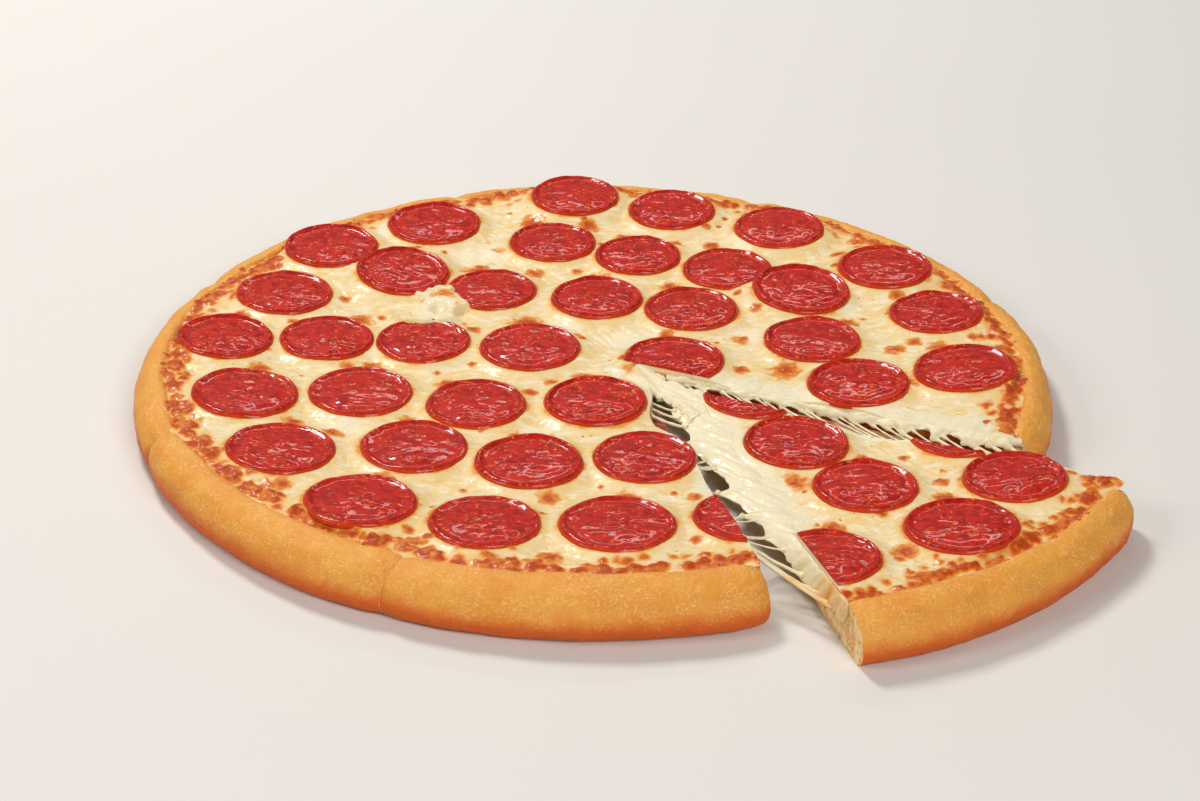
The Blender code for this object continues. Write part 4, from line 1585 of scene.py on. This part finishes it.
    def back_strands(self) -> tuple[Strand, ...]:
        """The strings from the curtain to the drawn-out piece's back side."""
        edge, clear = unit(self.pulled_back), unit(self.pulled_back + 90)
        strands = []
        for curtain_along, piece_along, radius in self.back_strings:
            flat = np.array(self.tip) + edge * piece_along - clear * 0.5
            height = float(self.level((edge * piece_along)[None, :])[0]) - 0.5
            share = np.array([(curtain_along - self.curtain_start) / self.curtain_length])
            first = self.curtain(share, np.array([self.held_end]))[0]
            last = (*(flat + np.array(self.centre)), height)
            strands.append(Strand(tuple(first), last, radius, 0.6, 1.5))
        return tuple(strands)


@dataclass(frozen=True)
class Studio:
    """The camera, the soft lights and the floor."""

    target: tuple[float, float] = (-5.4, 2.8)
    elevation: float = 28.4
    distance: float = 1037.0
    lens: float = 80.16
    sensor: float = 36.0
    roll: float = 0.48
    floor_size: float = 8.0
    floor_level: float = -0.0002

    def camera(self) -> None:
        """Sets the camera at the photograph's angle."""
        deselect()
        rise = math.radians(self.elevation)
        place = Vector((
            self.target[0], self.target[1] - self.distance * math.cos(rise), self.distance * math.sin(rise),
        )) * MM
        aim = Vector((*self.target, 0)) * MM - place
        aimed = aim.to_track_quat("-Z", "Y").to_matrix().to_4x4()
        turned = aimed @ Matrix.Rotation(math.radians(self.roll), 4, "Z")
        bpy.ops.object.camera_add(location=place, rotation=turned.to_euler())
        made = bpy.context.object
        made.name = "camera"
        made.data.lens = self.lens
        made.data.sensor_width = self.sensor
        made.data.clip_start = 0.02
        made.data.dof.use_dof = False
        bpy.context.scene.camera = made

    def softbox(
        self, name: str, place: tuple[float, float, float], size: tuple[float, float], power: float,
        colour: tuple[float, float, float],
    ) -> None:
        """Adds a wide soft light that faces the pizza.

        Args:
            name: The light's name.
            place: Where it hangs, in metres.
            size: Its width and height in metres.
            power: Its power in watts.
            colour: Its colour.
        """
        deselect()
        aimed = (-Vector(place)).to_track_quat("-Z", "Y").to_euler()
        bpy.ops.object.light_add(type="AREA", location=place, rotation=aimed)
        light = bpy.context.object
        light.name = name
        light.data.shape = "RECTANGLE"
        light.data.size, light.data.size_y = size
        light.data.energy = power
        light.data.color = colour

    def lights(self) -> None:
        """Hangs the key, back and fill lights and sets the pale surroundings."""
        self.softbox("key", (-0.60, 1.00, 1.35), (0.36, 0.36), 19, (1.0, 0.97, 0.93))
        self.softbox("strip", (0.15, 1.35, 1.0), (0.80, 0.12), 2.6, (1.0, 0.98, 0.95))
        self.softbox("side", (-1.3, -0.6, 1.0), (0.6, 0.6), 8, (1.0, 0.97, 0.93))
        self.softbox("fill", (0.65, -1.5, 1.15), (0.9, 0.7), 20, (1.0, 0.97, 0.94))
        world = bpy.data.worlds.new("pale surroundings")
        world.use_nodes = True
        world.node_tree.nodes["Background"].inputs["Color"].default_value = (0.95, 0.96, 1.0, 1)
        world.node_tree.nodes["Background"].inputs["Strength"].default_value = 0.15
        bpy.context.scene.world = world
        bpy.context.scene.view_settings.view_transform = "Standard"

    def floor(self) -> None:
        """Lays the plain floor."""
        deselect()
        bpy.ops.mesh.primitive_plane_add(size=self.floor_size, location=(0, 0, self.floor_level))
        bpy.ops.object.transform_apply(location=True)
        made = named("floor")
        made.data.materials.append(FloorFinish().make())


@dataclass(frozen=True)
class Pizza:
    """The whole pizza: where it is cut, where its rounds lie, and how its parts are built."""

    plan: Plan = field(default_factory=Plan)
    centre: tuple[float, float] = (-8.0, 6.0)
    meet: tuple[float, float] = (17.0, 1.0)
    cuts: tuple[float, ...] = (336.3, 382.2, 431.2, 476.3, 517.9, 559.9, 601.3, 645.0)
    tip: tuple[float, float] = (39.0, -22.0)
    pulled: tuple[float, float] = (286.7, 335.2)
    main_rounds: tuple[tuple[float, float, float], ...] = (
        (-9, 152, 38.5), (33, 141.5, 38), (78.5, 123.5, 39), (-69, 126, 40), (-110.5, 100, 40),
        (-18, 110, 37), (18, 98, 36.5), (55, 85.5, 38), (120, 84.5, 39.5), (-79, 77.5, 39),
        (-125.5, 57.5, 39.5), (-42, 64.5, 37), (1, 58, 38), (39, 48.5, 38.5), (84, 63.5, 40.5),
        (137, 43, 38), (-144, 14, 38), (-105, 18.5, 37.5), (-67, 18.5, 37.5), (-25, 14, 40),
        (31, 4, 39.5), (86, 22, 39), (142.5, -8, 40), (-131, -31, 40.5), (-88, -25, 40),
        (-44, -33, 38.5), (1, -30, 39.5), (101, -15, 39.5), (-113, -73, 40.5), (-65, -67, 40),
        (-23, -77, 40), (19, -73, 38.5), (-81, -111, 40.5), (-37, -123, 40), (9, -123, 41.5),
        (54.5, -117, 39.5),
    )
    pulled_rounds: tuple[tuple[float, float, float], ...] = (
        (21.5, -1.5, 38.5), (35.6, -38.4, 39.5), (58.4, -70.6, 38.5), (89, -102, 41), (112, -67, 38),
        (40, -122.5, 40), (96, -31.5, 38.5),
    )
    blisters: tuple[tuple[float, float, float], ...] = (
        (-60.5, 57, 6), (-27, 38, 8), (-128, -8, 6), (135, 15, 6), (12, -101, 6.5), (-94, 38, 7),
        (-14, -145, 6), (-49, 86, 7.5), (74, -1, 7.5), (-27, 131, 7), (85, 88, 6), (1, 79, 6), (31, 71, 6),
        (-76, -90, 6), (-43, 103, 6), (-56, -15, 5.5), (-4, -8, 5.5), (-25, 84, 5), (-3, 127, 5.5),
        (101, 39, 5.5), (59, 26, 5.5), (12, 118, 5), (-17, -55, 5),
        (28, 27, 5), (-96, -55, 5), (-15, -101, 5), (49, 111, 5), (-141, 38, 5), (-111, -49, 5),
        (-86, -1, 5), (38, -99, 5), (118, 16, 5), (113, -35, 5), (-110, -98, 4.5), (102, 101, 4.5),
        (62, 107, 4), (-77, 100, 4), (-24, -21, 4), (-69, -44, 4), (57, 0, 4), (123, 61, 4), (-48, 31, 4),
        (126, 21, 3.6), (34, 113, 3.5), (-95, -2, 3.5), (-16, -12, 3.5), (-101, 57, 3), (-53, 36, 3),
        (-63, -128, 3), (36, -132, 3), (-120, 34, 2.8), (58, 62, 2.6), (-56, 48, 2.4), (-85, 41, 2.4),
        (-47, 2, 2.4),
    )
    smears: tuple[tuple[int, float, float], ...] = (
        (12, 188, 6.0), (12, 210, 6.5), (12, 230, 4.5), (19, 70, 5.0), (19, 92, 6.0), (19, 114, 4.5),
    )
    pale: tuple[tuple[float, float, float], ...] = (
        (-64, 42, 15), (-50, 101, 13), (12, 24, 12), (62, 30, 9), (-88, 120, 8), (-20, -54, 9), (66, 112, 11),
        (100, 52, 8), (-90, -48, 9), (-12, 32, 9),
    )
    pulled_blisters: tuple[tuple[float, float, float], ...] = (
        (44, -99, 7), (33, -66, 7), (86, -78, 6), (68, -116, 6), (60, -48, 4.3), (86, -65, 4), (33, -92, 3.3),
        (16, -27, 4), (66, -121, 2.7),
    )
    leaning: tuple[tuple[int, float, float], ...] = ((10, 142.0, 5.0), (15, 143.0, 5.0))
    small_blisters: tuple[int, int] = (110, 20)

    def rounds(self, places: Iterable[tuple[float, float, float]], first: int) -> tuple[Round, ...]:
        """Numbers the rounds and marks those that lean on a neighbour."""
        leans = {number: (turn, lean) for number, turn, lean in self.leaning}
        return tuple(
            Round(number, x, y, wide, leans.get(number)) for number, (x, y, wide) in enumerate(places, first)
        )

    def spots(self, seed: int, count: int, low: float, high: float, start: tuple[float, float]) -> tuple:
        """Scatters small blisters over the cheese.

        Args:
            seed: Which of the scatters it is.
            count: How many blisters there are.
            low: The first direction in degrees.
            high: The last direction in degrees.
            start: Where the directions start from.

        Returns:
            Each blister's place and width.
        """
        rng = np.random.default_rng(seed)
        turn = rng.uniform(low, high, count)
        length = self.plan.nominal_edge * np.sqrt(rng.random(count))
        wide = 1.4 + 2.0 * rng.random(count) ** 1.6
        return tuple(
            (start[0] + unit(way)[0] * far, start[1] + unit(way)[1] * far, float(across))
            for way, far, across in zip(turn, length, wide)
        )

    def sections(self) -> list[Section]:
        """The seven pieces that are still in place."""
        last = len(self.cuts) - 2
        made = []
        for index, (first, end) in enumerate(zip(self.cuts, self.cuts[1:])):
            rounding = (4.0 if index == 0 else 1.8, 4.0 if index == last else 1.8)
            made.append(Section(self.meet, first, end, self.centre, 1.0, rounding))
        return made

    def pulled_section(self) -> Section:
        """The piece that is drawn out, about its own tip."""
        centre = (self.centre[0] + self.tip[0], self.centre[1] + self.tip[1])
        return Section((0.0, 0.0), *self.pulled, centre, 0.99, (0.8, 7.0))

    def build_dough(self, sections: list[Section], pulled: Section) -> None:
        """Builds the eight pieces of dough."""
        finishes = (CrustFinish().make(), CrumbFinish().make(), BaseFinish().make())
        for number, section in enumerate(sections, 1):
            piece = Dough(f"crust_{number}", section, self.plan).build()
            hand_over(piece, Slot.DOUGH, finishes, f"dough_{number}")
        piece = Dough("crust_pulled", pulled, self.plan).build()
        hand_over(piece, Slot.DOUGH, finishes, "dough_pulled")

    def build_cheese(
        self, sections: list[Section], pulled: Section, rounds: tuple[Round, ...], moved: tuple[Round, ...]
    ) -> None:
        """Builds the cheese of every piece, and the pulls across the gap.

        Args:
            sections: The pieces in place.
            pulled: The piece that is drawn out.
            rounds: The rounds on the pieces in place.
            moved: The rounds on the piece that is drawn out.
        """
        finish = CheeseFinish().make()
        gap = Gap(self.plan, self.meet, self.centre, self.tip, self.cuts[-1], self.cuts[0], *self.pulled)
        many, few = self.small_blisters
        spots = self.blisters + self.spots(5, many, self.cuts[0], self.cuts[-1], self.meet)
        lines = tuple((*self.meet, cut, 0.45) for cut in self.cuts[1:-1])
        for number, section in enumerate(sections, 1):
            loose = (12.0 if number == 1 else 0.0, 7.0 if number == len(sections) else 0.0)
            topping = Topping(self.plan, rounds, spots, lines, loose, 21, self.smears, self.pale)
            bites = gap.bites if number == len(sections) else ()
            piece = Cheese(f"cheese_top_{number}", replace(section, gap=0.0), topping, bites=bites).build()
            hand_over(piece, Slot.CHEESE, (finish,), "cheese")
        spots = self.pulled_blisters + self.spots(6, few, *self.pulled, (0.0, 0.0))
        topping = Topping(self.plan, moved, spots, (), (15.0, 4.0), 23, self.smears)
        piece = Cheese("cheese_top_pulled", pulled, topping).build()
        hand_over(piece, Slot.CHEESE, (finish,), "cheese_pulled")
        for pull in (
            Pull("web", "pull_front", gap.web, gap.front_strands()),
            Pull("curtain", "pull_back", gap.curtain, gap.back_strands()),
            Pull("bridge", "pull_front", gap.bridge, (), 90, 60, 1.6),
        ):
            hand_over(pull.build(), Slot.CHEESE, (finish,), pull.node)

    def build_pepperoni(
        self, sections: list[Section], pulled: Section, rounds: tuple[Round, ...], moved: tuple[Round, ...]
    ) -> None:
        """Builds the rounds, trimmed where a cut passes through one.

        Args:
            sections: The pieces in place.
            pulled: The piece that is drawn out.
            rounds: The rounds on the pieces in place.
            moved: The rounds on the piece that is drawn out.
        """
        maker = Pepperoni(self.plan)
        finish = PepperoniFinish().make()
        blank = maker.blank()
        first, last = -unit(self.cuts[0] + 90), unit(self.cuts[-1] + 90)
        near, far = -unit(self.pulled[0] + 90), unit(self.pulled[1] + 90)
        planes = {
            21: (self.meet, first), 36: (self.meet, last),
            42: ((0, 0), near), 37: ((0, 0), far), 43: ((0, 0), far),
        }
        for item, section in [(item, sections[0]) for item in rounds] + [(item, pulled) for item in moved]:
            cuts = []
            if item.number in planes:
                point, way = planes[item.number]
                cuts.append((np.array(point, float), way))
            piece = maker.dressed(blank, item, section.centre, cuts)
            hand_over(piece, Slot.PEPPERONI, (finish,), f"pepperoni_{item.number:02d}")
        bpy.data.objects.remove(blank)

    def build_sauce(self) -> None:
        """Gives the two layers of sauce, whose solids stay, their finish."""
        finish = SauceFinish().make()
        for name in ("sauce", "sauce_pulled"):
            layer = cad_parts[name]
            layer.data.materials.clear()
            layer.data.materials.append(finish)

    def build(self) -> None:
        """Builds everything in order."""
        sections, pulled = self.sections(), self.pulled_section()
        rounds, moved = self.rounds(self.main_rounds, 1), self.rounds(self.pulled_rounds, 37)
        self.build_dough(sections, pulled)
        self.build_sauce()
        self.build_cheese(sections, pulled, rounds, moved)
        self.build_pepperoni(sections, pulled, rounds, moved)


def main() -> None:
    """Builds the studio and the pizza."""
    logging.basicConfig(level=logging.INFO, format="%(name)s: %(message)s")
    studio = Studio()
    studio.camera()
    studio.lights()
    studio.floor()
    Pizza().build()


if __name__ == "__main__":
    main()
